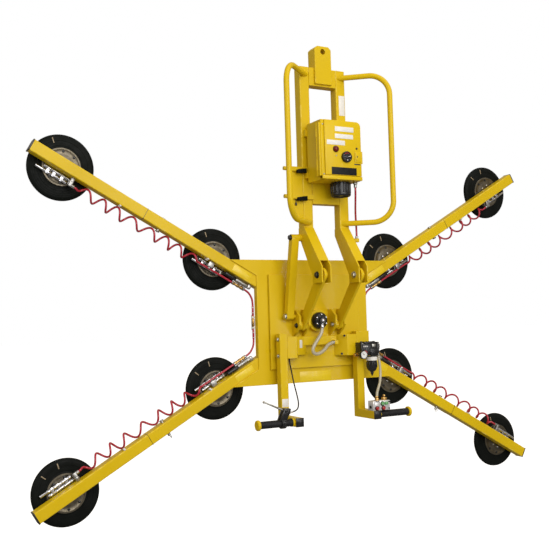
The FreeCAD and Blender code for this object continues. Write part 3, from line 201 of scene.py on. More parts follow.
def arm_frame(corner: Corner) -> Matrix:
    """Make the matrix from one arm's own axes to the part's frame.

    Args:
        corner: Which arm.

    Returns:
        The matrix; it mirrors for two of the arms.
    """
    side, rise = corner.value
    along = Vector((side * math.cos(ARM_ANGLE), 0, rise * math.sin(ARM_ANGLE)))
    across = Vector((-side * math.sin(ARM_ANGLE), 0, rise * math.cos(ARM_ANGLE)))
    depth = Vector((0, 1, 0))
    turn = Matrix((along, across, depth)).transposed().to_4x4()
    return Matrix.Translation(hub(0, 0, 0)) @ turn @ Matrix.Scale(0.001, 4)


def around(count: int, shift: float = 0.0) -> list[Pair]:
    """Work out evenly spaced spots on a circle of radius 1, the first turned by a share of their spacing."""
    turns = [math.tau * (index + shift) / count for index in range(count)]
    return [(math.cos(turn), math.sin(turn)) for turn in turns]


def link(name: str, data: bpy.types.ID) -> bpy.types.Object:
    """Put data in the scene as an object.

    Args:
        name: The object's name.
        data: Its mesh, curve, lamp or camera.

    Returns:
        The object.
    """
    made = bpy.data.objects.new(name, data)
    bpy.context.scene.collection.objects.link(made)
    return made


def fill(node: bpy.types.Node, inputs: dict[str | int, Socket | float | tuple]) -> None:
    """Give a node's inputs their values or links.

    Args:
        node: The node.
        inputs: The value of each input, or the socket that feeds it.
    """
    for key, value in inputs.items():
        if isinstance(value, Socket):
            node.id_data.links.new(value, node.inputs[key])
        else:
            node.inputs[key].default_value = value


def add_node(tree: bpy.types.NodeTree, kind: str, inputs: dict[str | int, Socket | float | tuple],
             **settings: str | bool) -> bpy.types.Node:
    """Add a shader node.

    Args:
        tree: The tree that it goes in.
        kind: Its type, without the prefix.
        inputs: The value of each input, or the socket that feeds it.
        settings: The node's own settings.

    Returns:
        The node.
    """
    node = tree.nodes.new(f"ShaderNode{kind}")
    for name, value in settings.items():
        setattr(node, name, value)
    fill(node, inputs)
    return node


def camera_split(tree: bpy.types.NodeTree, output: str, hidden: bpy.types.Node, seen: bpy.types.Node) -> None:
    """Show the camera one shader and all other rays another.

    Args:
        tree: The tree.
        output: Name of its output node.
        hidden: The shader that lights the scene.
        seen: The shader that the camera sees.
    """
    path = add_node(tree, "LightPath", {})
    inputs = {0: path.outputs["Is Camera Ray"], 1: hidden.outputs[0], 2: seen.outputs[0]}
    mix = add_node(tree, "MixShader", inputs)
    fill(tree.nodes[output], {"Surface": mix.outputs[0]})


class Wiring:
    """The node tree of one finish, with its object coordinates."""

    def __init__(self, tree: bpy.types.NodeTree) -> None:
        """Keep the material's tree and add its coordinates."""
        self.tree = tree
        self.place = add_node(tree, "TexCoord", {}).outputs["Object"]

    def stretched(self, scale: Point, turn: Point = (0, 0, 0)) -> Socket:
        """Scale and turn the coordinates on each axis."""
        inputs = {"Scale": scale, "Rotation": turn, "Vector": self.place}
        return add_node(self.tree, "Mapping", inputs).outputs[0]

    def noise(self, scale: float, detail: float, stretch: Point = (1, 1, 1)) -> Socket:
        """Add a noise texture, with its coordinates stretched on each axis."""
        inputs = {"Scale": scale, "Detail": detail, "Vector": self.stretched(stretch)}
        return add_node(self.tree, "TexNoise", inputs).outputs["Fac"]

    def threads(self) -> Socket:
        """Add the crossing threads of a braid.

        Returns:
            Where the threads cross.
        """
        lays = []
        for lean in (THREAD_LEAN, -THREAD_LEAN):
            inputs = {"Scale": THREAD_SCALE, "Vector": self.stretched((1, 1, 1), (lean, lean, THREAD_TWIST))}
            lays.append(add_node(self.tree, "TexWave", inputs).outputs["Fac"])
        return self.product(*lays)

    def spread(self, value: Socket, low: float, high: float) -> Socket:
        """Spread the middle of a noise over a range, from low to high."""
        least, most = NOISE_RANGE
        inputs = {"From Min": least, "From Max": most, "To Min": low, "To Max": high, "Value": value}
        return add_node(self.tree, "MapRange", inputs).outputs[0]

    def product(self, first: Socket, second: Socket) -> Socket:
        """Multiply two values and keep the product between 0 and 1."""
        inputs = {0: first, 1: second}
        return add_node(self.tree, "Math", inputs, operation="MULTIPLY", use_clamp=True).outputs[0]

    def mix(self, share: Socket, first: Socket | Point, second: Point) -> Socket:
        """Mix two colours.

        Args:
            share: Share of the second colour.
            first: A colour, or the socket that gives one.
            second: The other colour.

        Returns:
            The mixed colour.
        """
        base = first if isinstance(first, Socket) else (*first, 1)
        return add_node(self.tree, "Mix", {0: share, 6: base, 7: (*second, 1)}, data_type="RGBA").outputs[2]

    def relief(self, height: Socket, strength: float, depth: float = GRAIN_DEPTH, under: Socket | None = None
               ) -> Socket:
        """Turn a height into a normal.

        Args:
            height: The height.
            strength: Strength of the relief.
            depth: Depth of the relief in metres.
            under: The normal that it lies on, or None for the surface's own.

        Returns:
            The normal.
        """
        inputs = {"Strength": strength, "Distance": depth, "Height": height}
        if under:
            inputs["Normal"] = under
        return add_node(self.tree, "Bump", inputs).outputs["Normal"]

    def edges(self) -> Socket:
        """Read the mask of bevelled edge faces that take a lighter colour, partly wear and partly painted
        highlight.
        """
        return add_node(self.tree, "Attribute", {}, attribute_name="wear").outputs["Fac"]


@dataclass(frozen=True)
class Finish:
    """One surface finish, made as a procedural material.

    Attributes:
        name: The material's name.
        slot: The record's material slot.
        colour: Main colour, linear.
        shade: Colour of the patches that vary it, linear.
        roughness: Middle of the roughness.
        grain: Small-scale texture.
        metallic: How metallic it is.
        coat: Weight of the clear coat.
        gloss: Level of the plain reflection.
        patch: Size of the colour patches, as a noise scale.
        bump: Strength of the texture's relief.
        wear: Lighter colour along bevelled edges, partly wear and partly painted highlight, or None.
        waves: Strength of the long waves in a sprayed coat, or 0.
    """

    name: str
    slot: str
    colour: Point
    shade: Point
    roughness: float
    grain: Grain
    metallic: float = 0.0
    coat: float = 0.0
    gloss: float = 0.5
    patch: float = 6.0
    bump: float = 0.1
    wear: Point | None = None
    waves: float = 0.0

    def material(self) -> bpy.types.Material:
        """Make the material, or return the one already made."""
        return bpy.data.materials.get(self.name) or self._make()

    def _make(self) -> bpy.types.Material:
        """Build the material's nodes.

        Returns:
            The new material.
        """
        made = bpy.data.materials.new(self.name)
        made.use_nodes = True
        wiring = Wiring(made.node_tree)
        cloud = wiring.noise(self.patch * CLOUD_SHARE, 4)
        smooth, rough = (self.roughness * share for share in ROUGHNESS_RANGE)
        scale, stretch = self.grain.value
        inputs = {"Metallic": self.metallic, "Specular IOR Level": self.gloss, "Coat Weight": self.coat,
                  "Coat Roughness": COAT_ROUGHNESS, "Base Color": self._colour(wiring),
                  "Roughness": wiring.spread(cloud, smooth, rough)}
        normal = wiring.relief(wiring.noise(scale, 3, stretch), self.bump)
        if self.waves:
            normal = wiring.relief(wiring.noise(WAVE_SCALE, 1, WAVE_STRETCH), self.waves, WAVE_DEPTH, normal)
            inputs["Coat Normal"] = normal
        fill(made.node_tree.nodes["Principled BSDF"], {**inputs, "Normal": normal})
        return made

    def _colour(self, wiring: Wiring) -> Socket:
        """Vary the base colour by patches, by a braid's threads and by a lighter colour on bevelled edges
        that is partly wear and partly painted highlight.

        Args:
            wiring: The material's wiring.

        Returns:
            The colour.
        """
        patches = wiring.spread(wiring.noise(self.patch, 5), 0, 1)
        colour = wiring.mix(patches, self.colour, self.shade)
        if self.grain is Grain.BRAID:
            colour = wiring.mix(wiring.threads(), colour, tuple(THREAD_SHADE * part for part in self.colour))
        # Lighter colour on bevelled edges, broken up by noise: partly wear, partly painted highlight
        if self.wear:
            edge_breakup = wiring.spread(wiring.noise(EDGE_BREAKUP_SCALE, 8), *EDGE_BREAKUP_RANGE)
            colour = wiring.mix(wiring.product(wiring.edges(), edge_breakup), colour, self.wear)
        return colour


# The yellow's lighter edge colour is partly edge wear and partly painted highlight
YELLOW = Finish("yellow_enamel", "yellow_paint", (0.72, 0.49, 0.006), (0.66, 0.445, 0.005), 0.34,
                Grain.ENAMEL, coat=0.08, gloss=0.16, patch=3.0, bump=0.05, wear=(0.80, 0.60, 0.08),
                waves=0.35)
RUBBER = Finish("pad_rubber", "black_rubber", (0.004, 0.005, 0.004), (0.008, 0.009, 0.008), 0.50,
                Grain.RUBBER, gloss=0.07, patch=14, bump=0.10)
GRIP = Finish("grip_rubber", "black_rubber", (0.006, 0.006, 0.007), (0.012, 0.012, 0.013), 0.5,
              Grain.RUBBER, gloss=0.3, patch=30, bump=0.25)
BLACK = Finish("black_moulding", "black_plastic", (0.006, 0.006, 0.007), (0.012, 0.012, 0.013), 0.27,
               Grain.MOULDED, coat=0.15, gloss=0.4, patch=25, bump=0.08)
ZINC = Finish("zinc_plate", "zinc_steel", (0.56, 0.55, 0.51), (0.42, 0.41, 0.37), 0.34,
              Grain.BRUSHED, metallic=1.0, patch=60, bump=0.10)
CHROME = Finish("polished_plate", "chrome", (0.72, 0.72, 0.74), (0.56, 0.56, 0.60), 0.20,
                Grain.SMOOTH, metallic=1.0, patch=40, bump=0.06)
PLATE = Finish("stamped_plate", "zinc_steel", (0.17, 0.145, 0.105), (0.11, 0.095, 0.07), 0.40,
               Grain.BRUSHED, metallic=0.9, patch=45, bump=0.14)
ALUMINIUM = Finish("machined_aluminium", "bright_aluminium", (0.80, 0.79, 0.79), (0.70, 0.69, 0.69), 0.30,
                   Grain.BRUSHED, metallic=0.55, patch=50, bump=0.12)
NICKEL = Finish("nickel_fitting", "bright_aluminium", (0.48, 0.47, 0.45), (0.36, 0.35, 0.33), 0.36,
                Grain.BRUSHED, metallic=1.0, patch=60, bump=0.08)
BRASS = Finish("brass_fitting", "bright_aluminium", (0.66, 0.42, 0.15), (0.50, 0.29, 0.09), 0.26,
               Grain.BRUSHED, metallic=1.0, patch=60, bump=0.10)
RED_HOSE = Finish("red_hose", "red_hose", (0.078, 0.003, 0.008), (0.055, 0.002, 0.006), 0.32,
                  Grain.SMOOTH, coat=0.25, patch=18, bump=0.05)
CLEAR_HOSE = Finish("braided_hose", "clear_hose", (0.56, 0.50, 0.36), (0.47, 0.41, 0.28), 0.28,
                    Grain.BRAID, coat=0.4, patch=30, bump=0.10)
CABLE = Finish("cable_sheath", "black_plastic", (0.008, 0.008, 0.008), (0.02, 0.02, 0.02), 0.4,
               Grain.SMOOTH, patch=60, bump=0.05)
LABEL = Finish("label_film", "white_plastic", (0.82, 0.80, 0.75), (0.74, 0.71, 0.66), 0.35,
               Grain.SMOOTH, patch=80, bump=0.04)
PALE_LABEL = Finish("pale_label", "yellow_paint", (0.82, 0.60, 0.010), (0.77, 0.55, 0.008), 0.33,
                    Grain.SMOOTH, coat=0.2, patch=60, bump=0.04)
DARK_LABEL = Finish("dark_label", "black_plastic", (0.008, 0.009, 0.008), (0.014, 0.014, 0.014), 0.45,
                    Grain.SMOOTH, gloss=0.15, patch=60, bump=0.03)
DIAL_WHITE = Finish("dial_white", "white_plastic", (0.82, 0.81, 0.78), (0.76, 0.75, 0.71), 0.3,
                    Grain.SMOOTH, coat=0.4, patch=90, bump=0.02)
LENS = Finish("lamp_lens", "red_lens", (0.15, 0.004, 0.004), (0.11, 0.003, 0.003), 0.30,
              Grain.SMOOTH, coat=0.15, gloss=0.3, patch=60, bump=0.03)
RED = Finish("red_button", "red_plastic", (0.40, 0.010, 0.012), (0.33, 0.008, 0.010), 0.28,
             Grain.MOULDED, coat=0.3, patch=70, bump=0.05)
GREEN = Finish("green_button", "green_plastic", (0.16, 0.42, 0.16), (0.12, 0.34, 0.12), 0.30,
               Grain.MOULDED, coat=0.3, patch=70, bump=0.05)
MARK = Finish("pad_mark", "white_plastic", (0.34, 0.26, 0.16), (0.26, 0.20, 0.12), 0.45,
              Grain.MOULDED, patch=90, bump=0.05)
TIE = Finish("cable_tie", "white_plastic", (0.78, 0.76, 0.71), (0.68, 0.66, 0.61), 0.42,
             Grain.MOULDED, patch=90, bump=0.05)


class Shaper:
    """A bmesh that collects operator-made shapes, in millimetres about the hub or in an arm's own axes.

    Each method that adds a shape returns the shaper, so that shapes chain.
    """

    def __init__(self, place: Matrix = HUB_FRAME) -> None:
        """Start empty, with the matrix from the drawing's millimetres to the part's frame."""
        self.bm = bmesh.new()
        self.place = place

    def soften(self, verts: list[bmesh.types.BMVert], width: float) -> None:
        """Bevel every sharp edge of a new shape.

        Args:
            verts: The new shape's vertices.
            width: Bevel width, or 0 for none.
        """
        if not width:
            return
        edges = dict.fromkeys(edge for vert in verts for edge in vert.link_edges)
        sharp = [edge for edge in edges if edge.is_manifold and edge.calc_face_angle(0) > EASED_ANGLE]
        bmesh.ops.bevel(self.bm, geom=sharp, offset=width, offset_type="OFFSET", segments=2, profile=0.5,
                        affect="EDGES", clamp_overlap=True, material=-1)

    def cube(self, matrix: Matrix, ease: float) -> Shaper:
        """Add a unit cube, placed by a matrix, with a bevel of a given width."""
        self.soften(bmesh.ops.create_cube(self.bm, size=1, matrix=matrix)["verts"], ease)
        return self

    def block(self, low: Point, high: Point, ease: float = 1.0) -> Shaper:
        """Add a box between its lowest and highest corners, with a bevel of a given width."""
        return self.cube(box_matrix(low, high), ease)

    def bar(self, start: Point, end: Point, width: float, height: float, out: Vector, ease: float) -> Shaper:
        """Add a flat bar between two points.

        Args:
            start: Middle of one end.
            end: Middle of the other end.
            width: Width across it.
            height: Thickness along `out`.
            out: Way that its flat face looks.
            ease: Bevel width.

        Returns:
            This shaper.
        """
        first, last = Vector(start), Vector(end)
        along = (last - first).normalized()
        turn = Matrix((along, out.cross(along), out)).transposed().to_4x4()
        size = Matrix.Diagonal(((last - first).length, width, height, 1))
        return self.cube(Matrix.Translation((first + last) / 2) @ turn @ size, ease)

    def rod(self, start: Point, end: Point, radius: float, ease: float = 0.8, sides: int = 32,
            tip: float | None = None) -> Shaper:
        """Add a round or many-sided bar.

        Args:
            start: Centre of one end.
            end: Centre of the other.
            radius: Radius at the start.
            ease: Bevel width of its rims.
            sides: How many sides.
            tip: Radius at the end, if it differs.

        Returns:
            This shaper.
        """
        first, last = Vector(start), Vector(end)
        made = bmesh.ops.create_cone(self.bm, cap_ends=True, segments=sides, radius1=radius,
                                     radius2=radius if tip is None else tip, depth=(last - first).length,
                                     matrix=facing((first + last) / 2, last - first))
        self.soften(made["verts"], ease)
        return self

    def spans(self, axis: Axis, line: Pair, *rods: Span) -> Shaper:
        """Add rods that share one line along an axis.

        Args:
            axis: The axis.
            line: The line's other two coordinates.
            rods: Start, end, radius, bevel width and sides of each; the last two may be left out.

        Returns:
            This shaper.
        """
        place = axis.value
        for start, end, *form in rods:
            self.rod(*[(*line[:place], level, *line[place:]) for level in (start, end)], *form)
        return self

    def ball(self, centre: Point, radius: float) -> Shaper:
        """Add a ball."""
        bmesh.ops.create_uvsphere(self.bm, u_segments=24, v_segments=14, radius=radius,
                                  matrix=Matrix.Translation(centre))
        return self

    def turned(self, profile: Profile, centre: Point, axis: Vector, steps: int = 48) -> Shaper:
        """Add a turned piece.

        Args:
            profile: Radius and height of each corner; it is closed unless it starts and ends on the axis.
            centre: Where height 0 lies.
            axis: Direction of rising height.
            steps: How many steps round.

        Returns:
            This shaper.
        """
        verts = [self.bm.verts.new((radius, 0, height)) for radius, height in profile]
        edges = [self.bm.edges.new(pair) for pair in zip(verts, verts[1:])]
        if profile[0][0] > 0 or profile[-1][0] > 0:
            edges.append(self.bm.edges.new((verts[-1], verts[0])))
        bmesh.ops.spin(self.bm, geom=verts + edges, cent=(0, 0, 0), axis=(0, 0, 1), angle=math.tau,
                       steps=steps, use_merge=True)
        fresh = self._joined(verts)
        bmesh.ops.remove_doubles(self.bm, verts=fresh, dist=1e-4)
        fresh = [vert for vert in fresh if vert.is_valid]
        self._face_out(fresh)
        bmesh.ops.transform(self.bm, matrix=facing(Vector(centre), axis), verts=fresh)
        return self

    def _joined(self, seeds: list[bmesh.types.BMVert]) -> list[bmesh.types.BMVert]:
        """Find every vertex that edges join to the seeds.

        Args:
            seeds: Where to start.

        Returns:
            The vertices, the seeds among them, in the order in which they are found.
        """
        found = {}
        queue = [vert for vert in seeds if vert.is_valid]
        while queue:
            vert = queue.pop()
            if vert not in found:
                found[vert] = True
                queue += [edge.other_vert(vert) for edge in vert.link_edges]
        return list(found)

    def _face_out(self, verts: list[bmesh.types.BMVert]) -> None:
        """Turn the faces of a new shape outwards."""
        faces = list(dict.fromkeys(face for vert in verts for face in vert.link_faces))
        bmesh.ops.recalc_face_normals(self.bm, faces=faces)

    def ring(self, centre: Point, axis: Vector, radius: float, wire: float, steps: int = 32) -> Shaper:
        """Add a ring of round wire.

        Args:
            centre: Its centre.
            axis: Its axis.
            radius: Radius to the wire's middle.
            wire: The wire's radius.
            steps: How many steps round.

        Returns:
            This shaper.
        """
        profile = [(radius + wire * cosine, wire * sine) for cosine, sine in around(10)]
        return self.turned(profile, centre, axis, steps)

    def prism(self, outline: Profile, low: float, high: float, ease: float = 1.0) -> Shaper:
        """Add a plate with an outline in X and Y, raised along Z.

        Args:
            outline: Corners in X and Y.
            low: Its lower level.
            high: Its upper level.
            ease: Bevel width.

        Returns:
            This shaper.
        """
        face = self.bm.faces.new([self.bm.verts.new((x, y, low)) for x, y in outline])
        made = bmesh.ops.extrude_face_region(self.bm, geom=[face], use_keep_orig=True)["geom"]
        tops = [item for item in made if isinstance(item, bmesh.types.BMVert)]
        bmesh.ops.translate(self.bm, verts=tops, vec=(0, 0, high - low))
        verts = self._joined(tops)
        self._face_out(verts)
        self.soften(verts, ease)
        return self

    def hex_bolt(self, centre: Point, axis: Vector, across: float, height: float, washer: float) -> Shaper:
        """Add a hex head on a washer.

        Args:
            centre: Where the washer's underside lies.
            axis: Way out of the surface.
            across: Corner radius of the head.
            height: Height of the head.
            washer: Washer radius.

        Returns:
            This shaper.
        """
        base = Vector(centre)
        seat = base + axis * WASHER
        self.rod(base, seat, washer, 0.4, 28)
        return self.rod(seat, base + axis * (WASHER + height), across, 0.9, 6)

    def socket_screw(self, centre: Point, axis: Vector, radius: float, height: float) -> Shaper:
        """Add a round screw head with a sunk socket.

        Args:
            centre: Where its underside lies.
            axis: Way out of the surface.
            radius: Radius of the head.
            height: Height of the head.

        Returns:
            This shaper.
        """
        well = radius * 0.5
        profile = [(0, 0), (radius, 0), (radius, height * 0.8), (radius * 0.85, height), (well, height),
                   (well, height * 0.4), (0, height * 0.4)]
        return self.turned(profile, centre, axis, 20)

    def piece(self, name: str, finish: Finish, body: str, *nodes: str) -> bpy.types.Object:
        """Make the shapes one object that rides on a body.

        Args:
            name: The piece's name.
            finish: Its finish.
            body: The CAD body that it rides on.
            nodes: CAD nodes that it stands for.

        Returns:
            The object.
        """
        bmesh.ops.transform(self.bm, matrix=self.place, verts=self.bm.verts)
        if self.place.determinant() < 0:
            bmesh.ops.reverse_faces(self.bm, faces=self.bm.faces)
        return show(name, ordered_mesh(name, self.bm), finish, body, *nodes)


def box_matrix(low: Point, high: Point) -> Matrix:
    """Make the matrix from a unit cube to a box between two corners."""
    size = [top - base for base, top in zip(low, high)]
    middle = [(top + base) / 2 for base, top in zip(low, high)]
    return Matrix.Translation(middle) @ Matrix.Diagonal((*size, 1))


def ordered_mesh(name: str, shape: bmesh.types.BMesh) -> bpy.types.Mesh:
    """Make a mesh whose vertices and faces come in the same order each run.

    Args:
        name: The mesh's name.
        shape: Its shape, which is freed.

    Returns:
        The mesh, with the shape's mask for edge wear and painted highlight if it has any.
    """
    shape.verts.sort(key=lambda vert: vert.co.dot(ORDER_WAY))
    shape.verts.index_update()
    wear = shape.faces.layers.float.get("wear")
    rows = []
    for face in shape.faces:
        ring = [vert.index for vert in face.verts]
        first = ring.index(min(ring))
        rows.append((ring[first:] + ring[:first], face[wear] if wear else 0.0))
    rows.sort()
    mesh = bpy.data.meshes.new(name)
    mesh.from_pydata([vert.co for vert in shape.verts], [], [ring for ring, _ in rows])
    if wear:
        mesh.attributes.new("wear", "FLOAT", "FACE").data.foreach_set("value", [edge_mark for _, edge_mark in rows])
    shape.free()
    return mesh


def show(name: str, mesh: bpy.types.Mesh, finish: Finish, body: str, *nodes: str) -> bpy.types.Object:
    """Put a mesh in the scene as a piece.

    Args:
        name: The piece's name.
        mesh: Its mesh, in the part's frame.
        finish: Its finish.
        body: The CAD body that it rides on.
        nodes: CAD nodes that it stands for.

    Returns:
        The object.
    """
    mesh.shade_smooth()
    mesh.set_sharp_from_angle(angle=SHARP_ANGLE)
    mesh.materials.append(finish.material())
    piece = link(name, mesh)
    settle(piece, finish, body, *nodes)
    return piece


def settle(piece: bpy.types.Object, finish: Finish, body: str, *nodes: str) -> None:
    """Put a piece on the body that it rides on and hide the CAD nodes that it stands for.

    Args:
        piece: The piece.
        finish: Its finish; not used.
        body: The CAD body that it rides on.
        nodes: CAD nodes that it stands for.
    """
    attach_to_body(piece, body)
    if nodes:
        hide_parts(*nodes)
    log.info("piece %s on %s", piece.name, body)


@dataclass
class SteelWork:
    """The welded yellow steel: CAD nodes with their edges eased as rolled tube and dressed plate are.

    Attributes:
        corners: Radius of the long outer edges of each node.
        rounds: Large rounds of one node: X and Z of an edge that runs along Y, and its radius.
        trim: Radius of the other sharp edges.
        long_edge: Length in metres past which an edge counts as long.
        sharp: Angle past which an edge counts as sharp.
        weld: Distance in metres at which vertices are merged.
        near: Distance in metres within which an edge counts as the one to round.
    """

    frame: dict
    corners: dict[str, float] = field(default_factory=lambda: {
        "upright_right": 5, "upright_left": 5, "cross_beams": 5, "leg_right": 4, "leg_left": 4,
        "inner_arms": 5, "extension_arms": 5, "post_right": 4, "post_left": 4, "tilt_link": 4, "lift_bar": 3,
        "side_bracket": 1.2, "tilt_arm_right": 1.5, "tilt_arm_left": 1.5, "rotator_plate": 1.5,
        "tilt_brackets": 1.5, "pad_frame_plate": 2, "box_shell": 1.5, "handle_bars": 1.5,
        "guard_right": 0.8, "guard_left": 0.8, "door_latch": 1, "hub_bearing": 1.5,
    })
    rounds: dict[str, list[Point]] = field(default_factory=lambda: {
        "box_shell": [(103, 882, 22), (100, 879, 19)],
    })
    trim: float = 1.0
    long_edge: float = 0.06
    sharp: float = math.radians(40)
    weld: float = 2e-5
    near: float = 2e-4

    def build(self) -> None:
        """Make an eased copy of each steel node."""
        bodies = self.frame["record"]["behaviour"]["bodies"]
        owner = {node: body for body, nodes in bodies.items() for node in nodes}
        for node, corner in self.corners.items():
            piece = show(f"{node}_steel", self.eased(node, corner), YELLOW, owner[node], node)
            normals = piece.modifiers.new("flat_faces", "WEIGHTED_NORMAL")
            normals.keep_sharp = True

    def eased(self, node: str, corner: float) -> bpy.types.Mesh:
        """Copy a node's mesh with its edges bevelled.

        Args:
            node: The CAD node.
            corner: Width of the bevel on long outer edges.

        Returns:
            The new mesh, in the part's frame.
        """
        shape = bmesh.new()
        shape.from_mesh(self.frame["nodes"][node].data)
        bmesh.ops.remove_doubles(shape, verts=shape.verts, dist=self.weld)
        bmesh.ops.dissolve_limit(shape, angle_limit=math.radians(1), use_dissolve_boundaries=False,
                                 verts=shape.verts, edges=shape.edges)
        # Faces made by the bevels are marked for the lighter edge colour: partly wear, partly painted
        # highlight
        wear = shape.faces.layers.float.new("wear")
        for x, z, radius in self.rounds.get(node, []):
            spot = hub(x, 0, z)
            edges = [edge for edge in shape.edges if all(
                max(abs(vert.co.x - spot.x), abs(vert.co.z - spot.z)) < self.near for vert in edge.verts)]
            self._bevel(shape, edges, radius, 6, None)
        long_edges = [edge for edge in shape.edges if self._is_sharp(edge) and edge.is_convex
                      and edge.calc_length() > self.long_edge]
        self._bevel(shape, long_edges, corner, 3, wear)
        rest = [edge for edge in shape.edges if self._is_sharp(edge)]
        self._bevel(shape, rest, min(self.trim, corner), 2, wear)
        return ordered_mesh(f"{node}_steel", shape)

    def _is_sharp(self, edge: bmesh.types.BMEdge) -> bool:
        """Say whether an edge is a corner between two faces."""
        return edge.is_manifold and edge.calc_face_angle(0) > self.sharp

    def _bevel(self, shape: bmesh.types.BMesh, edges: list[bmesh.types.BMEdge], width: float, segments: int,
               wear: bmesh.types.BMLayerItem | None) -> None:
        """Bevel edges and mark the new faces for the lighter edge colour, which is partly wear and partly
        painted highlight.

        Args:
            shape: The mesh.
            edges: Its edges to bevel.
            width: Bevel width in millimetres.
            segments: Bevel segments.
            wear: The layer that marks faces for wear and painted highlight, or None.
        """
        made = bmesh.ops.bevel(shape, geom=edges, offset=width / 1000, offset_type="OFFSET",
                               segments=segments, profile=0.5, affect="EDGES", clamp_overlap=True,
                               material=-1)
        for face in made["faces"] if wear else []:
            face[wear] = 1.0


@dataclass
class VacuumPads:
    """The eight pads: moulded rubber rings on stamped plates, with their pipework and cut-off tabs."""

    stations: dict[str, float] = field(default_factory=lambda: {"inner": 558.0, "outer": 1330.0})
    bolts: int = 8
    bolt_circle: float = 66.0
    bolt_clear: float = 36.0
    pipe_depth: float = -33.0
    pipes: Pair = (34.0, 52.0)
    pipe_start: float = -46.0
    pipe_ends: Pair = (66.0, 96.0)
    nuts: tuple[float, ...] = (-46.0, -14.0, 22.0, 50.0)
    tab: float = -56.0
    marks: Pair = (106.0, 142.0)
    mark_span: Pair = (104.0, 127.0)
    rubber_profile: Profile = field(default_factory=lambda: [
        (60, 8), (122, 8), (130, 4.5), (135.5, 0.3), (138, 0), (139.6, 1), (140, 4), (139, 9), (135, 13.5),
        (129, 17), (124, 18.2), (121, 18.2), (119.5, 19.4), (112, 19.6), (110.5, 18.4), (101, 18.6),
        (99.5, 19.8), (91, 20), (89.5, 18.9), (84, 19), (82, 20), (60, 20)])
    plate_profile: Profile = field(default_factory=lambda: [
        (0, 20), (80, 20), (81, 21), (81, 24.5), (79.5, 26), (74, 26.4), (72, 25), (58, 24.2), (52, 25),
        (47, 26.2), (30, 26.4), (18, 26.4), (14, 26.6), (12, 27), (12, 56), (0, 56)])
    boss_profile: Profile = field(default_factory=lambda: [
        (13, 26), (46, 25.6), (46, 26.2), (43, 26.8), (34, 26.5), (30, 26.8), (13, 26.8)])

    def build(self) -> None:
        """Make every pad."""
        for corner in Corner:
            for ring, station in self.stations.items():
                node = f"pad_{corner.label}_{ring}"
                self.ring(arm_frame(corner), node, station)
                self.pipework(arm_frame(corner), node, station)
                self.wear_marks(corner, node, station)

    def ring(self, place: Matrix, node: str, station: float) -> None:
        """Make a pad's rubber and its plate.

        Args:
            place: The arm's matrix.
            node: The pad's CAD node, and body.
            station: Its distance along the arm.
        """
        centre = (station, ARM_MIDDLE, 0)
        rubber = Shaper(place).turned(self.rubber_profile, centre, ARM_FRONT, 96)
        rubber.piece(f"{node}_rubber", RUBBER, node, node)
        plate = Shaper(place).turned(self.plate_profile, centre, ARM_FRONT, 72)
        plate.turned(self.boss_profile, centre, ARM_FRONT, 48)
        heads = Shaper(place)
        for cosine, sine in around(self.bolts, 0.5):
            across = self.bolt_circle * sine
            spot = (station + self.bolt_circle * cosine, ARM_MIDDLE + across)
            if abs(across) > self.bolt_clear:
                heads.hex_bolt((*spot, -24.6), ARM_FRONT, 4.6, 4.4, 5.8)
            else:
                plate.spans(Axis.Z, spot, (-24.4, -27, 5.5, 0.6, 24))
        plate.piece(f"{node}_plate", PLATE, node)
        heads.piece(f"{node}_bolts", BLACK, node)

    def pipework(self, place: Matrix, node: str, station: float) -> None:
        """Make the bright pipes beside the arm, with their nuts, bracket and cut-off tab.

        Args:
            place: The arm's matrix.
            node: The pad's body.
            station: The pad's distance along the arm.
        """
        near, far = (ARM_MIDDLE - reach for reach in self.pipes)
        nuts = [(station + nut, station + nut + 12, 8.0, 0.8, 6) for nut in self.nuts]
        pipes = Shaper(place)
        for across, end in zip((near, far), self.pipe_ends):
            pipe = (station + self.pipe_start, station + end, 6.2, 0.8, 24)
            pipes.spans(Axis.X, (across, self.pipe_depth), pipe, *nuts)
        for along in (station - 28, station + 8, station + 36):
            pipes.block((along, far - 7, -38), (along + 13, near + 6, -25.5), 1.2)
        for along in (station - 20, station + 14):
            pipes.block((along, ARM_MIDDLE + 27, -31), (along + 9, ARM_MIDDLE + 37, -25), 1.2)
        pipes.piece(f"{node}_pipes", CHROME, node)
        along = station + self.tab
        tab = Shaper(place).bar((along, far - 4, -35), (along, near + 8, -35), 9, 3, ARM_FRONT, 0.8)
        tab.spans(Axis.Z, (along, near), (-37.5, -31, 4.5, 0.6, 20))
        tab.bar((along - 2, near, -34), (along + 12, near, -34), 6, 4, ARM_FRONT, 0.6)
        tab.piece(f"{node}_tab", NICKEL, node)

    def wear_marks(self, corner: Corner, node: str, station: float) -> None:
        """Make the pale radial bars on a pad's rubber, set at the same two angles in the part's frame on
        every pad.

        Args:
            corner: Which arm.
            node: The pad's body.
            station: The pad's distance along the arm.
        """
        side, rise = corner.value
        marks = Shaper(arm_frame(corner))
        for degrees in self.marks:
            x, z = math.cos(math.radians(degrees)), math.sin(math.radians(degrees))
            along = side * x * math.cos(ARM_ANGLE) + rise * z * math.sin(ARM_ANGLE)
            across = rise * z * math.cos(ARM_ANGLE) - side * x * math.sin(ARM_ANGLE)
            ends = [(station + reach * along, ARM_MIDDLE + reach * across, -18.8) for reach in self.mark_span]
            marks.bar(*ends, 4.2, 2.4, ARM_FRONT, 0.5)
        marks.piece(f"{node}_marks", MARK, node)


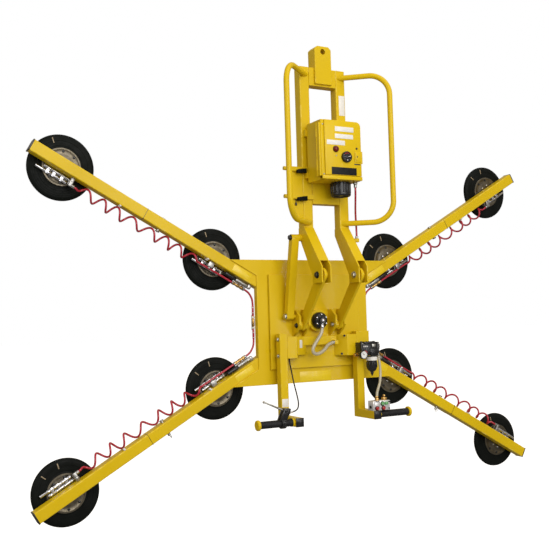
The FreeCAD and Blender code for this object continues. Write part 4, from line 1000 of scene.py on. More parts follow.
@dataclass(frozen=True)
class HoseRun:
    """One hose or cable that leaves the object and goes back into it.

    Attributes:
        name: The piece's name.
        node: The CAD node that it stands for.
        body: The body that it rides on.
        radius: Outer radius.
        finish: Its finish.
        points: Its route.
        stiffness: How stiff it is; not used.
    """

    name: str
    node: str
    body: str
    radius: float
    finish: Finish
    points: list[Point]
    stiffness: str = "medium"

    def build(self) -> None:
        curve = self.curve()
        curve.materials.append(self.finish.material())
        piece = link(self.name, curve)
        settle(piece, self.finish, self.body, self.node)
        hub(*self.points[0])

    def curve(self) -> bpy.types.Curve:
        """Lay a round curve along the route.

        Returns:
            The curve.
        """
        curve = bpy.data.curves.new(self.name, "CURVE")
        curve.dimensions = "3D"
        curve.resolution_u = 6
        curve.bevel_depth = self.radius / 1000
        curve.bevel_resolution = 5
        curve.use_fill_caps = True
        spline = curve.splines.new("NURBS")
        spline.points.add(len(self.points) - 1)
        for knot, point in zip(spline.points, self.points):
            knot.co = (*hub(*point), 1)
        spline.order_u = 3
        spline.use_endpoint_u = True
        return curve


@dataclass
class HoseLoom:
    """Every hose: curly ones along the arms, short ones by the plate, and those of the frames."""

    hose_radius: float = 4.5
    coil_radius: float = 24.0
    turns: int = 8
    points_per_turn: int = 12
    coil_start: float = 620.0
    coil_end: float = 1245.0
    coil_lead: float = 40.0
    looseness: float = 0.14
    slack_waves: float = 2.6
    drift: float = 9.0
    root: float = 445.0
    tip: float = HOSE_ELBOW
    connector: float = HOSE_CONNECTOR
    lead: float = 22.0
    lane: float = HOSE_LANE
    manifold: float = 75.0
    box_route: list[Point] = field(default_factory=lambda: [
        (94, -332, 600), (94, -332, 572), (104, -314, 536), (123, -282, 498), (142, -254, 462),
        (152, -242, 426), (152, -242, 374)])
    union_route: list[Point] = field(default_factory=lambda: [
        (0, -160, -24), (0, -160, -50), (-20, -162, -78), (-44, -164, -106), (-58, -165, -129),
        (-52, -164, -149), (-26, -160, -154), (12, -152, -138), (46, -140, -106), (76, -137, -103.3)])
    supply_route: list[Point] = field(default_factory=lambda: [
        (287, -186, -136), (287, -186, -166), (286, -197, -206), (278, -214, -246), (262, -234, -281),
        (242, -252, -308), (219, -262, -340), (219, -262, -374)])
    cable_route: list[Point] = field(default_factory=lambda: [
        (-243, -262, -392), (-224, -262, -392), (-199, -259, -385), (-182, -243, -364), (-175, -219, -332),
        (-170, -190, -292), (-164, -160, -250), (-157, -134, -210), (-152, -114, -184), (-152, -114, -158)])

    def build(self) -> None:
        """Make every hose."""
        radius = self.hose_radius
        for corner in Corner:
            for kind, route in (("coil", self.coil(corner)), ("edge", self.edge(corner))):
                name = f"{kind}_hose_{corner.label}"
                HoseRun(name, f"{kind}_hoses", "pad_frame", radius, RED_HOSE, route).build()
        HoseRun("box_hose_run", "box_hose", "lift_frame", radius, RED_HOSE, self.box_route).build()
        HoseRun("union_hose_run", "union_hose", "tilt_frame", 8.0, CLEAR_HOSE, self.union_route).build()
        HoseRun("supply_hose_run", "supply_hose", "tilt_frame", 6.0, CLEAR_HOSE, self.supply_route).build()
        HoseRun("lock_cable_run", "lock_cable", "tilt_frame", 3.0, CABLE, self.cable_route, "stiff").build()

    def on_arm(self, corner: Corner, along: float, across: float, depth: float) -> Point:
        """Turn a spot in an arm's axes into millimetres about the hub.

        Args:
            corner: Which arm.
            along: Distance along it.
            across: Distance across it.
            depth: Distance behind the pad lips.

        Returns:
            The spot about the hub.
        """
        side, rise = corner.value
        x = along * math.cos(ARM_ANGLE) - across * math.sin(ARM_ANGLE)
        z = along * math.sin(ARM_ANGLE) + across * math.cos(ARM_ANGLE)
        return side * x, depth, rise * z

    def coil(self, corner: Corner) -> list[Point]:
        """Work out the route of one curly hose.

        Args:
            corner: Which arm.

        Returns:
            Its points about the hub.
        """
        count = self.turns * self.points_per_turn
        run = self.coil_end - self.coil_start
        swell_share = self.coil_lead / run
        points = [self.on_arm(corner, self.root, *HOSE_LINE)]
        for index in range(count + 1):
            share = index / count
            swell = min(1.0, share / swell_share, (1 - share) / swell_share)
            slack = 1 - self.looseness * (0.5 + 0.5 * math.sin(math.tau * self.slack_waves * share))
            reach = self.coil_radius * slack * swell * swell * (3 - 2 * swell)
            turn = math.tau * self.turns * share
            drift = self.drift * math.sin(math.tau * 2 * share) * swell
            across, depth = HOSE_ACROSS - reach * math.cos(turn), HOSE_DEPTH - reach * math.sin(turn)
            points.append(self.on_arm(corner, self.coil_start + run * share + drift, across, depth))
        points.append(self.on_arm(corner, self.tip, *HOSE_LINE))
        return points

    def edge(self, corner: Corner) -> list[Point]:
        """Work out the route of one hose beside the plate's edge.

        Args:
            corner: Which arm.

        Returns:
            Its points about the hub.
        """
        side, rise = corner.value
        start = self.on_arm(Corner.UPPER_RIGHT, self.connector, *HOSE_LINE)
        lead = self.on_arm(Corner.UPPER_RIGHT, self.connector - self.lead, *HOSE_LINE)
        drop = lead[2] - self.manifold
        points = [start, lead]
        for over, down in ((0.36, 0.68), (0, 0.36), (0, 0)):
            points.append((self.lane + (lead[0] - self.lane) * over, HOSE_DEPTH, self.manifold + drop * down))
        return [(side * x, y, rise * z) for x, y, z in points]


@dataclass
class HoseFittings:
    """What the arms' hoses join: connectors with a brass rod, tees, end elbows and side manifolds."""

    connector: float = HOSE_CONNECTOR
    tee: float = 558.0
    elbow: float = HOSE_ELBOW
    tip: float = 1482.0
    seam: float = 941.0
    ties: Pair = (600.0, 1052.0)
    manifold_x: float = HOSE_LANE

    def build(self) -> None:
        """Make the fittings of each arm, then the manifolds."""
        bright = [self.arm(corner) for corner in Corner]
        for side in (-1, 1):
            self.manifold(side)
        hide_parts("hose_fittings")

    def arm(self, corner: Corner) -> bpy.types.Object:
        """Make one arm's fittings, ties and end cap, with black strips of painted shade at its seam.

        Args:
            corner: Which arm.

        Returns:
            The bright fittings.
        """
        place = arm_frame(corner)
        piece = self.bright(place).piece(f"fittings_{corner.label}", NICKEL, "pad_frame")
        start = self.connector
        nuts = [(start + nut, start + nut + 11, 8.6, 0.8, 6) for nut in (10, 30, 54)]
        brass = Shaper(place).spans(Axis.X, HOSE_LINE, (start + 6, start + 70, 6.6, 0.8, 20), *nuts)
        brass.piece(f"brass_link_{corner.label}", BRASS, "pad_frame")
        dark = Shaper(place).spans(Axis.X, (-19, -64), (start + 60, start + 118, 9, 1.2),
                                   (start + 66, start + 74, 10.5, 1.0, 6))
        dark.block((self.tip - 4, -6.5, -84.5), (self.tip + 2.5, 44.5, -33.5), 1.6)
        # Thin black strips round the arm at its seam: painted shade of the gap between the inner and
        # extension arms
        for high in ((44.4, -83.6), (-5.6, -33.6)):
            dark.block((self.seam - 0.9, -6.4, -84.4), (self.seam + 0.9, *high), 0)
        dark.piece(f"arm_cap_{corner.label}", BLACK, "pad_frame")
        ties = Shaper(place)
        for along in self.ties:
            ties.block((along - 4.5, -10, -84.6), (along + 4.5, -5.8, -49), 0.8)
            ties.block((along - 4.5, -14, -74), (along + 4.5, -9, -60), 1.2)
        ties.piece(f"hose_ties_{corner.label}", TIE, "pad_frame")
        return piece

    def bright(self, place: Matrix) -> Shaper:
        """Shape one arm's bright fittings.

        Args:
            place: The arm's matrix.

        Returns:
            The shapes.
        """
        start, tee, elbow = self.connector, self.tee, self.elbow
        ribs = [(start + 14 + rib * 7, start + 18 + rib * 7, 11, 0.8) for rib in range(6)]
        bright = Shaper(place).spans(Axis.X, HOSE_LINE, (start, start + 9, 8.5, 1.0, 6))
        bright.spans(Axis.X, (-20, -64), (start + 8, start + 60, 9.5, 1.2), *ribs)
        bright.spans(Axis.X, (-19, -64), (start - 6, start + 9, 11.5, 1.0, 6))
        bright.block((start - 22, -27, -72), (start - 5, -8, -54), 2.4)
        bright.spans(Axis.X, HOSE_LINE, (start + 57, start + 70, 8.5, 1.0, 6))
        bright.block((tee, -33, -70), (tee + 26, -6, -48), 2.0)
        bright.spans(Axis.Y, (tee + 13, HOSE_DEPTH), (-33, -39, 8, 0.8, 6))
        bright.block((elbow, -45, -67), (elbow + 15, -6, -51), 2.4)
        bright.spans(Axis.X, HOSE_LINE, (elbow - 13, elbow + 1, 8.2, 0.9, 6))
        return bright.spans(Axis.Z, (elbow + 8, -20), (-66, -69.5, 6, 0.8, 6))

    def manifold(self, side: int) -> None:
        """Make the manifold beside the plate's edge.

        Args:
            side: 1 for the right edge, -1 for the left.
        """
        name = "right" if side > 0 else "left"
        x = side * self.manifold_x
        line = (x, HOSE_DEPTH)
        brass = Shaper().spans(Axis.Z, line, (-17, 17, 7.0, 1.0, 6), (-30, 30, 5.0, 0.8, 20))
        brass.piece(f"manifold_{name}", BRASS, "pad_frame")
        white, sleeves = Shaper(), Shaper()
        for end in (-1, 1):
            white.spans(Axis.Z, line, (end * 20, end * 27, 7.4, 1.0, 24))
            for level in (44, 68):
                white.ring((*line, end * level), UP, 5.6, 1.4, 20)
            white.spans(Axis.Y, (x, end * 44), (HOSE_DEPTH - 6, HOSE_DEPTH - 12, 1.6, 0.4, 12))
            sleeves.spans(Axis.Z, line, (end * 27, end * 76, 4.9, 0.5, 24))
        white.block((x - 5, HOSE_DEPTH + 3, -34), (x - side * 6, HOSE_DEPTH + 9, 34), 0.6)
        white.piece(f"manifold_collars_{name}", TIE, "pad_frame")
        sleeves.piece(f"manifold_sleeves_{name}", RED_HOSE, "pad_frame")


@dataclass
class ControlBox:
    """The control box: door with dial, lamp and blank labels, horn, hose ends, clamps and its inside."""

    half: float = 103.0
    base: float = 618.0
    top: float = 882.0
    front: float = -374.5
    back: float = -354.5
    seam: float = -86.0
    lip: float = 638.0
    corner: float = 22.0
    hinge: Pair = (-110.0, -347.0)
    dial: Pair = (22.0, 720.0)
    dial_steps: int = 21
    dial_sweep: Pair = (218.0, 12.8)
    dial_band: range = range(7, 13)
    lamp: Pair = (-31.0, 753.0)
    horn: Pair = (34.0, -302.0)
    horn_ribs: int = 16
    rib_circle: float = 43.0
    box_end: Pair = (94.0, -332.0)
    leg_end: Pair = (152.0, -242.0)
    clamp_levels: Pair = (536.0, 661.0)
    strips: list[Span] = field(default_factory=lambda: [
        (-32, 65, 833, 855), (-33, 62, 802, 822), (-76, 18, 772, 793)])
    bezel_profile: Profile = field(default_factory=lambda: [
        (0, -20), (12, -20), (12, 0), (25, 0), (25, 9), (24, 12), (21.5, 13.5), (20.2, 12), (19.6, 10.5),
        (0, 10.5)])
    lens_profile: Profile = field(default_factory=lambda: [
        (0, -20), (6, -20), (6, 0), (13, 0), (13, 5), (12.4, 7.5), (10.5, 10.5), (7, 12.8), (3, 13.8),
        (0, 14)])
    horn_profile: Profile = field(default_factory=lambda: [
        (0, 0), (41, 0), (43.5, 2), (43.5, 48), (45.5, 50), (46, 56), (44, 61), (40, 64), (36, 62), (34, 58),
        (12, 57), (10, 60), (0, 60)])

    def build(self) -> None:
        """Make every piece of the box."""
        self.door()
        self.instruments()
        self.labels()
        self.sounder()
        self.hose_ends()
        self.side_clamps()
        self.inside()

    def door(self) -> None:
        """Make the door: a tray with one rounded corner, a hinge strip and a lip below."""
        door = self.tray()
        door.block((-self.half, self.front + 3, self.base), (self.seam - 2, self.back, self.top), 1.2)
        strip = ((self.seam - 4, self.front + 9, self.base + 4), (self.seam + 2, self.back, self.top - 4))
        door.block(*strip, 0)
        lip = [(-self.half, self.front - 5), (self.half, self.front - 5), (self.half, self.back),
               (-self.half, self.back)]
        door.prism(lip, self.base, self.lip - 2.5, 2.2)
        hinge_x, hinge_y = self.hinge
        low, high = self.base + 14, self.top - 14
        knuckles = [(level, level + 18, 5.0, 0.5, 24) for level in range(int(low) + 8, int(high) - 16, 24)]
        door.spans(Axis.Z, self.hinge, (low, high, 4.4, 0.6, 24), *knuckles)
        door.block((hinge_x - 2, self.front + 6, low), (-self.half + 1, self.back, high), 1.0)
        door.block((hinge_x - 2, self.back - 1, low), (hinge_x + 6, hinge_y, high), 1.0)
        door.block((66, self.front - 3, 701), (99, self.front + 1, 747), 1.2)
        door.block((70, self.front - 5.5, 706), (88, self.front - 2, 742), 1.5)
        door.piece("control_door_panel", YELLOW, "control_door", "box_door")

    def tray(self) -> Shaper:
        """Shape the door's tray, hollow at the back.

        Returns:
            The shape.
        """
        tray = Shaper().block((self.seam, self.front, self.lip), (self.half, self.back, self.top), 0)
        round_edge = [edge for edge in tray.bm.edges if all(
            vert.co.x > self.half - 1 and vert.co.z > self.top - 1 for vert in edge.verts)]
        bmesh.ops.bevel(tray.bm, geom=round_edge, offset=self.corner, offset_type="OFFSET", segments=8,
                        profile=0.5, affect="EDGES", material=-1)
        rear = [face for face in tray.bm.faces if face.normal.y > 0.9]
        bmesh.ops.inset_region(tray.bm, faces=rear, thickness=3)
        bmesh.ops.inset_region(tray.bm, faces=rear, thickness=0.05, depth=-17)
        tray.soften(list(tray.bm.verts), 1.2)
        return tray

    def instruments(self) -> None:
        """Make the dial with its scale and pointer, and the lamp."""
        x, z = self.dial
        front = self.front
        bezel = Shaper().turned(self.bezel_profile, (x, front, z), FRONT, 56)
        bezel.bar((x - 18.5, front - 11.5, z - 1), (x + 18.5, front - 11.5, z + 1), 9, 3, FRONT, 1.0)
        bezel.spans(Axis.Y, self.dial, (front - 10, front - 13.6, 6.5))
        bezel.piece("dial_bezel", BLACK, "control_door", "vacuum_gauge")
        marks, band = Shaper(), Shaper()
        level = front - 10.8
        first, step = self.dial_sweep
        for index in range(self.dial_steps):
            turn = math.radians(first - step * index)
            in_band = index in self.dial_band
            reaches = (15.0 if in_band else 17.0, 18.8)
            ends = [(x + reach * math.cos(turn), level, z + reach * math.sin(turn)) for reach in reaches]
            if in_band or index % 5 == 0:
                (band if in_band else marks).bar(*ends, 3.0 if in_band else 1.2, 0.8, FRONT, 0)
        marks.bar((x + 3, front - 13.4, z + 0.3), (x + 17.5, front - 13.4, z + 3.2), 1.6, 0.8, FRONT, 0)
        marks.spans(Axis.Y, (x + 1, z - 14.5), (level + 0.4, level - 0.4, 2.4, 0, 16))
        marks.piece("dial_marks", DIAL_WHITE, "control_door")
        band.piece("dial_band", RED, "control_door")
        x, z = self.lamp
        lens = Shaper().turned(self.lens_profile, (x, front, z), FRONT, 40)
        lens.piece("lamp_lens_dome", LENS, "control_door", "warning_lamp")
        gasket = [(12.6, 0), (14.6, 0), (14.6, 1.6), (13.6, 2.6), (12.6, 2.6)]
        Shaper().turned(gasket, (x, front, z), FRONT, 40).piece("lamp_gasket", BLACK, "control_door")

    def labels(self) -> None:
        """Make the blank labels, the screws and the slots of the door; the slots are thin black blocks of
        painted shade.
        """
        front = self.front
        strips = Shaper()
        for left, right, low, high in self.strips:
            strips.block((left, front - 0.8, low), (right, front + 0.4, high), 0.3)
        strips.piece("door_strips", LABEL, "control_door")
        plate = Shaper().block((-55, front - 1.4, 640), (75, front + 0.4, 673), 0.5)
        plate.piece("door_nameplate", DARK_LABEL, "control_door")
        screws = Shaper()
        for x, y, z in ((-29, front, 724), (-94, front + 3, 640), (-94, front + 3, 860)):
            screws.socket_screw((x, y, z), FRONT, 3.4, 2.2)
        screws.piece("door_screws", ZINC, "control_door")
        plug = [(0, -0.2), (5, -0.2), (5, 1.0), (3.8, 1.8), (0, 1.4)]
        slots = Shaper().turned(plug, (79, front, 762), FRONT, 24)
        # The two thin black blocks are painted shade in place of openings: a slot below the latch plate and a
        # slot in the latch's front
        slots.block((64, front - 0.9, 688), (96, front + 0.4, 693), 0.3)
        slots.block((76, front - 6, 721), (81, front - 5.2, 728), 0.2)
        slots.piece("door_slots", BLACK, "control_door")

    def sounder(self) -> None:
        """Make the ribbed horn under the box."""
        x, y = self.horn
        horn = Shaper().turned(self.horn_profile, (x, y, self.base), DOWN, 64)
        rib = (self.base - 3, self.base - 50, 3.6, 1.0, 12)
        for cosine, sine in around(self.horn_ribs, 0.4):
            horn.spans(Axis.Z, (x + self.rib_circle * cosine, y + self.rib_circle * sine), rib)
        horn.piece("horn_body", BLACK, "lift_frame", "alarm_horn")

    def hose_ends(self) -> None:
        """Make the fittings at the box hose's two ends."""
        nipple = Shaper().spans(Axis.Z, self.box_end, (618, 609, 10, 0.9, 6), (610, 594, 7, 0.8, 28))
        nipple.spans(Axis.Z, self.leg_end, (370, 384, 7, 0.8, 28))
        nipple.piece("box_hose_ends", NICKEL, "lift_frame")
        elbow = Shaper().block((143, -251, 356), (161, -233, 374), 3)
        elbow.spans(Axis.X, (-242, 365), (121, 144, 6.8, 0.8, 24), (136, 144, 9.5, 0.9, 6))
        elbow.piece("leg_elbow", YELLOW, "lift_frame")

    def side_clamps(self) -> None:
        """Make the pads of the side bracket's clamps, its gusset and its toggle."""
        clamps = Shaper(UPRIGHT_FRAME)
        for level in self.clamp_levels:
            wedge = [(-160, 0), (-112, 1), (-112, 23), (-134, 20), (-160, 15)]
            clamps.prism([(x, level + rise) for x, rise in wedge], 243, 257, 1.6)
            for x in range(-154, -109, 9):
                clamps.block((x, level + 3, 256), (x + 4, level + 14, 258.2), 0.6)
        clamps.piece("clamp_blocks", RUBBER, "lift_frame", "clamp_pads")
        gusset = [(-170, 477), (-120, 477), (-120, 434), (-142, 438)]
        Shaper(UPRIGHT_FRAME).prism(gusset, 225, 231, 0.8).piece("side_gusset", YELLOW, "lift_frame")
        toggle = Shaper()
        links = [(-158, -234, 552), (-160, -235, 541), (-161, -235, 530)]
        for start, end in zip(links, links[1:]):
            toggle.rod(start, end, 1.6, 0.3, 12).ball(end, 2.2)
        toggle.rod(links[-1], (-160, -235, 516), 4.2, 1.2, 20)
        toggle.spans(Axis.Y, (-158, 552), (-231, -237, 3.4, 0.6, 16))
        toggle.piece("side_toggle", BLACK, "lift_frame")

    def inside(self) -> None:
        """Make the vacuum generator inside the box."""
        body = Shaper().block((-60, -313, 675), (60, -253, 825), 3)
        body.block((-50, -316, 760), (20, -311, 815), 1.5)
        body.spans(Axis.Y, (36, 700), (-313, -319, 16, 1.2)).spans(Axis.Z, (-30, -283), (825, 862, 13, 1.5))
        body.piece("generator_body", BLACK, "lift_frame", "vacuum_generator")
        ports = Shaper()
        for x in (-44, -18, 8):
            ports.spans(Axis.Y, (x, 700), (-312, -322, 8, 0.8, 6), (-320, -332, 5, 0.6, 20))
        ports.spans(Axis.Z, (36, -283), (824, 838, 9, 0.8, 6)).piece("generator_ports", BRASS, "lift_frame")


@dataclass
class AirUnit:
    """The compressed-air side by the right handle: filter-regulator, bowl, gauge and hand valve."""

    gauge: Point = (180.0, -212.0, -164.0)
    gauge_steps: int = 11
    gauge_sweep: Pair = (225.0, 27.0)
    gauge_band: int = 5
    band_sweep: Pair = (78.0, 11.0)
    band_overlap: float = 1.15
    bowl: Point = (250.0, -186.0, -174.0)
    bowl_ribs: int = 12
    rib_circle: float = 24.6
    inlet: Pair = (-186.0, -166.0)
    valve_front: float = -284.0
    valve_port: Pair = (219.0, -262.0)
    sections: list[Pair] = field(default_factory=lambda: [(184, 191.6), (192.4, 219.6), (220.4, 276)])
    attach: Pair = (233.0, -387.0)
    release: Pair = (203.0, -407.0)
    spare: Pair = (238.0, -408.0)
    cap_profile: Profile = field(default_factory=lambda: [
        (0, -15), (8, -15), (8, 6), (7.3, 8.2), (5.8, 9), (4.4, 8.4), (0, 8)])
    bowl_profile: Profile = field(default_factory=lambda: [
        (0, 0), (22, 0), (22, 9), (24, 10), (24, 24), (25, 25), (25, 52), (23, 60), (17, 68), (11, 72),
        (8, 74), (8, 80), (5, 84), (3, 92), (0, 92)])
    case_profile: Profile = field(default_factory=lambda: [
        (0, 0), (19, 0), (20, 2), (20, 16), (19, 18), (17.2, 18), (16.8, 15.6), (0, 15.6)])

    def build(self) -> None:
        """Make every piece of the air unit."""
        self.regulator()
        self.filter_bowl()
        self.pressure_gauge()
        self.valve()
        self.cap(self.attach).piece("attach_cap", GREEN, "attach_button", "attach_button")
        self.cap(self.release).piece("release_cap", RED, "release_button", "release_button")

    def regulator(self) -> None:
        """Make the regulator with its yokes, plates and fittings."""
        body = Shaper().block((184, -209, -170), (272, -163, -114), 3)
        body.block((178, -211, -172), (190, -161, -108), 2).block((267, -211, -172), (278, -161, -108), 2)
        body.block((200, -205, -116), (260, -167, -107), 2).spans(Axis.Z, (250, -186), (-173, -180, 26, 1.2))
        body.block((228, -212, -171), (270, -205, -138), 2).spans(Axis.Y, (180, -164), (-213, -205, 17, 1.0))
        for x in (194, 264):
            body.spans(Axis.Z, (x, -186), (-112, -103.5, 6.5, 0.9, 24))
        for x in range(208, 258, 9):
            body.bar((x, -186, -107), (x + 4, -186, -107), 30, 4, UP, 0.6)
        body.piece("regulator_body", BLACK, "tilt_frame", "filter_regulator")
        marks = Shaper()
        for x in (191, 201, 209):
            marks.bar((x, -209.4, -127), (x + 5, -209.4, -127), 6, 1.2, FRONT, 0.3)
        marks.piece("regulator_marks", LABEL, "tilt_frame")
        plates = Shaper().block((238, -212.6, -131), (256, -208.5, -117), 0.8)
        for x, z in ((184, -114), (272.5, -114), (272.5, -166)):
            plates.socket_screw((x, -211, z), FRONT, 3.2, 2.4)
        plates.piece("regulator_plates", ZINC, "tilt_frame")
        inlet = Shaper().spans(Axis.X, self.inlet, (178, 168, 12, 1.0, 6), (169, 158, 8, 0.8, 24),
                               (160, 152, 9.5, 0.9, 6))
        inlet.piece("inlet_fitting", BRASS, "tilt_frame")
        outlet = Shaper().block((278, -195, -136), (296, -177, -118), 3)
        outlet.spans(Axis.Z, (287, -186), (-134, -143, 9.5, 0.9, 6))
        outlet.piece("outlet_elbow", ALUMINIUM, "tilt_frame")

    def filter_bowl(self) -> None:
        """Make the ribbed bowl with its pale band and drain."""
        bowl = Shaper().turned(self.bowl_profile, self.bowl, DOWN, 48)
        x, y, z = self.bowl
        for cosine, sine in around(self.bowl_ribs):
            spot = (x + self.rib_circle * cosine, y + self.rib_circle * sine)
            bowl.spans(Axis.Z, spot, (z - 27, z - 53, 1.8, 0.5, 10))
        bowl.piece("bowl_body", BLACK, "tilt_frame", "filter_bowl")
        band = Shaper().turned([(21.6, 3), (27, 3), (27, 20), (21.6, 20)], self.bowl, DOWN, 48)
        band.piece("bowl_band", LABEL, "tilt_frame")

    def pressure_gauge(self) -> None:
        """Make the gauge with its plain scale."""
        x, y, z = self.gauge
        case = Shaper().turned(self.case_profile, self.gauge, FRONT, 48)
        case.bar((x, y - 16.6, z), (x - 8.5, y - 16.6, z + 9), 1.6, 0.8, FRONT, 0.2)
        case.spans(Axis.Y, (x, z), (y - 15, y - 17.4, 2.2, 0.4, 16))
        first, step = self.gauge_sweep
        for index in range(self.gauge_steps):
            turn = math.radians(first - step * index)
            reaches = (12.5, 15.5)
            ends = [(x + reach * math.cos(turn), y - 16.3, z + reach * math.sin(turn)) for reach in reaches]
            case.bar(*ends, 0.9, 0.4, FRONT, 0)
        case.piece("gauge_case", BLACK, "tilt_frame", "pressure_gauge")
        face = Shaper().turned([(0, 15.2), (16.9, 15.2), (16.9, 16), (0, 16)], self.gauge, FRONT, 40)
        face.piece("gauge_face", DIAL_WHITE, "tilt_frame")
        band = Shaper()
        first, step = self.band_sweep
        for index in range(self.gauge_band):
            turns = [math.radians(first - step * (index + share)) for share in (0, self.band_overlap)]
            ends = [(x + 18.6 * math.cos(turn), y - 18.2, z + 18.6 * math.sin(turn)) for turn in turns]
            band.bar(*ends, 3.4, 0.8, FRONT, 0.2)
        band.piece("gauge_band", RED, "tilt_frame")

    def valve(self) -> None:
        """Make the hand valve: three bright sections with screws, ports, a spare button and a rocker."""
        front = self.valve_front
        body = Shaper()
        for low, high in self.sections:
            body.block((low, front, -418), (high, -240, -374), 1.8)
        body.block((188, -279, -415), (272, -245, -377), 0)
        body.piece("valve_body", ALUMINIUM, "tilt_frame", "valve_block")
        dark = Shaper()
        for level in (-381, -411):
            dark.socket_screw((270, front, level), FRONT, 3.6, 3)
        dark.spans(Axis.X, (-262, -402), (184.6, 181.5, 7.5, 0.8, 24))
        dark.block((194, front - 1.2, -380), (214, front + 1, -375.5), 0.4)
        for x, z in (self.attach, self.release, self.spare):
            dark.turned([(8.4, 0), (11, 0), (11, 2.2), (10, 3), (8.4, 3)], (x, front, z), FRONT, 32)
        dark.piece("valve_screws", BLACK, "tilt_frame")
        ports = Shaper().spans(Axis.Z, self.valve_port, (-375, -364, 10, 0.9, 6), (-366, -354, 7.4, 0.7, 24))
        ports.block((250, -270, -375), (270, -252, -362), 1.6)
        ports.spans(Axis.Z, (260, -261), (-363, -350, 5.4, 0.7, 20)).piece("valve_ports", BRASS, "tilt_frame")
        self.cap(self.spare).piece("valve_plug", RED, "tilt_frame")
        rocker = Shaper().block((246, front - 7, -394), (262, front + 1, -380), 2.4)
        rocker.piece("valve_rocker", GREEN, "tilt_frame")

    def cap(self, spot: Pair) -> Shaper:
        """Shape a button's cap, at X and Z of a spot on the valve's front."""
        return Shaper().turned(self.cap_profile, (spot[0], self.valve_front, spot[1]), FRONT, 36)


@dataclass
class Handles:
    """The operator's grips, their end caps and foot plugs, and the release lever with its clamp."""

    grip_axis: Pair = (-262.0, -437.0)
    grip_radius: float = 16.0
    grip_start: float = 231.0
    grip_end: float = 389.0
    grooves: int = 17
    pivot: Point = (-265.0, -262.0, -384.0)
    lever_length: float = 108.0
    lever_rise: float = math.radians(24)
    cap_profile: Profile = field(default_factory=lambda: [
        (0, -1), (20, -1), (22.6, 1), (22.8, 8), (21, 11.6), (17, 13.4), (13, 13.4), (11.5, 12), (0, 12)])
    block_outline: Profile = field(default_factory=lambda: [
        (-297, -426), (-263, -426), (-243, -392), (-240, -375), (-270, -372), (-280, -390)])

    def build(self) -> None:
        """Make the handles and the lever."""
        self.grips()
        self.clamp()
        self.lever()

    def sleeve(self) -> Profile:
        """Work out the profile of a grooved sleeve.

        Returns:
            The profile.
        """
        length, radius = self.grip_end - self.grip_start, self.grip_radius
        profile = [(0, 0), (radius + 1, 0), (radius + 1.5, 1), (radius + 1.5, 5), (radius, 7)]
        groove = [(0, 0), (0.7, 1), (0.7, 2), (0, 3)]
        for level in range(12, 12 + 8 * self.grooves, 8):
            profile += [(radius - depth, level + rise) for depth, rise in groove]
        return [*profile, (radius, length), (0, length)]

    def grips(self) -> None:
        """Make the moulded sleeves, the caps at their ends and the plugs of the feet."""
        sleeves, caps, plugs = Shaper(), Shaper(), Shaper()
        for side, way in ((1, RIGHT), (-1, LEFT)):
            sleeves.turned(self.sleeve(), (side * self.grip_start, *self.grip_axis), way, 40)
            caps.turned(self.cap_profile, (side * self.grip_end, *self.grip_axis), way, 40)
            low, high = sorted((side * POST_INNER, side * POST_OUTER))
            plugs.block((low - 0.4, -289.5, -456.4), (high + 0.4, -284.5, -417.6), 1.8)
            plugs.block((low + 6, -291, -450), (high - 6, -288, -424), 1.2)
        sleeves.piece("grip_sleeves", GRIP, "tilt_frame", "handle_grips")
        caps.piece("grip_caps", YELLOW, "tilt_frame")
        plugs.piece("foot_plugs", BLACK, "tilt_frame")

    def clamp(self) -> None:
        """Make the lever's clamp, its screws and the cable's adjuster."""
        collar = [(16.4, 0), (22, 0), (22.8, 1), (22.8, 21), (22, 22), (16.4, 22)]
        clamp = Shaper().turned(collar, (-287, *self.grip_axis), RIGHT, 40)
        clamp.block((-284, -285.5, -447), (-268, -279, -427), 2)
        clamp.piece("lever_clamp", BLACK, "tilt_frame", "lever_mount")
        block = Shaper(UPRIGHT_FRAME).prism(self.block_outline, 246, 278, 3)
        block.piece("lever_block", BLACK, "tilt_frame")
        screws = Shaper().socket_screw((-276, -285.5, -437), FRONT, 4.2, 3)
        for level, way in ((-277, FRONT), (-247, -FRONT)):
            screws.hex_bolt((self.pivot[0], level, self.pivot[2]), way, 6.4, 4, 7.6)
        screws.piece("lever_screws", BLACK, "tilt_frame")
        barrel = Shaper().spans(Axis.X, (-262, -392), (-244, -236, 6.5, 0.8, 14), (-237, -224, 4.6, 0.7, 20))
        barrel.piece("cable_barrel", ALUMINIUM, "tilt_frame")

    def lever(self) -> None:
        """Make the slim lever with its boss and ball end."""
        way = Vector((-math.cos(self.lever_rise), 0, math.sin(self.lever_rise)))
        start = Vector(self.pivot)
        end = start + way * self.lever_length
        lever = Shaper().rod(start + way * 6, start + way * 34, 5.2, 0.8, 24, 4.2)
        lever.rod(start + way * 32, end, 4.2, 0.8, 24, 3.0).ball(end, 5.6)
        boss = [(4.2, -5.6), (8.6, -5.6), (9, -5), (9, 5), (8.6, 5.6), (4.2, 5.6)]
        lever.turned(boss, self.pivot, FRONT, 32)
        lever.rod(start + way * 24, start + way * 30, 6.2, 0.8, 24)
        lever.piece("lever_rod", ZINC, "release_lever", "release_lever")


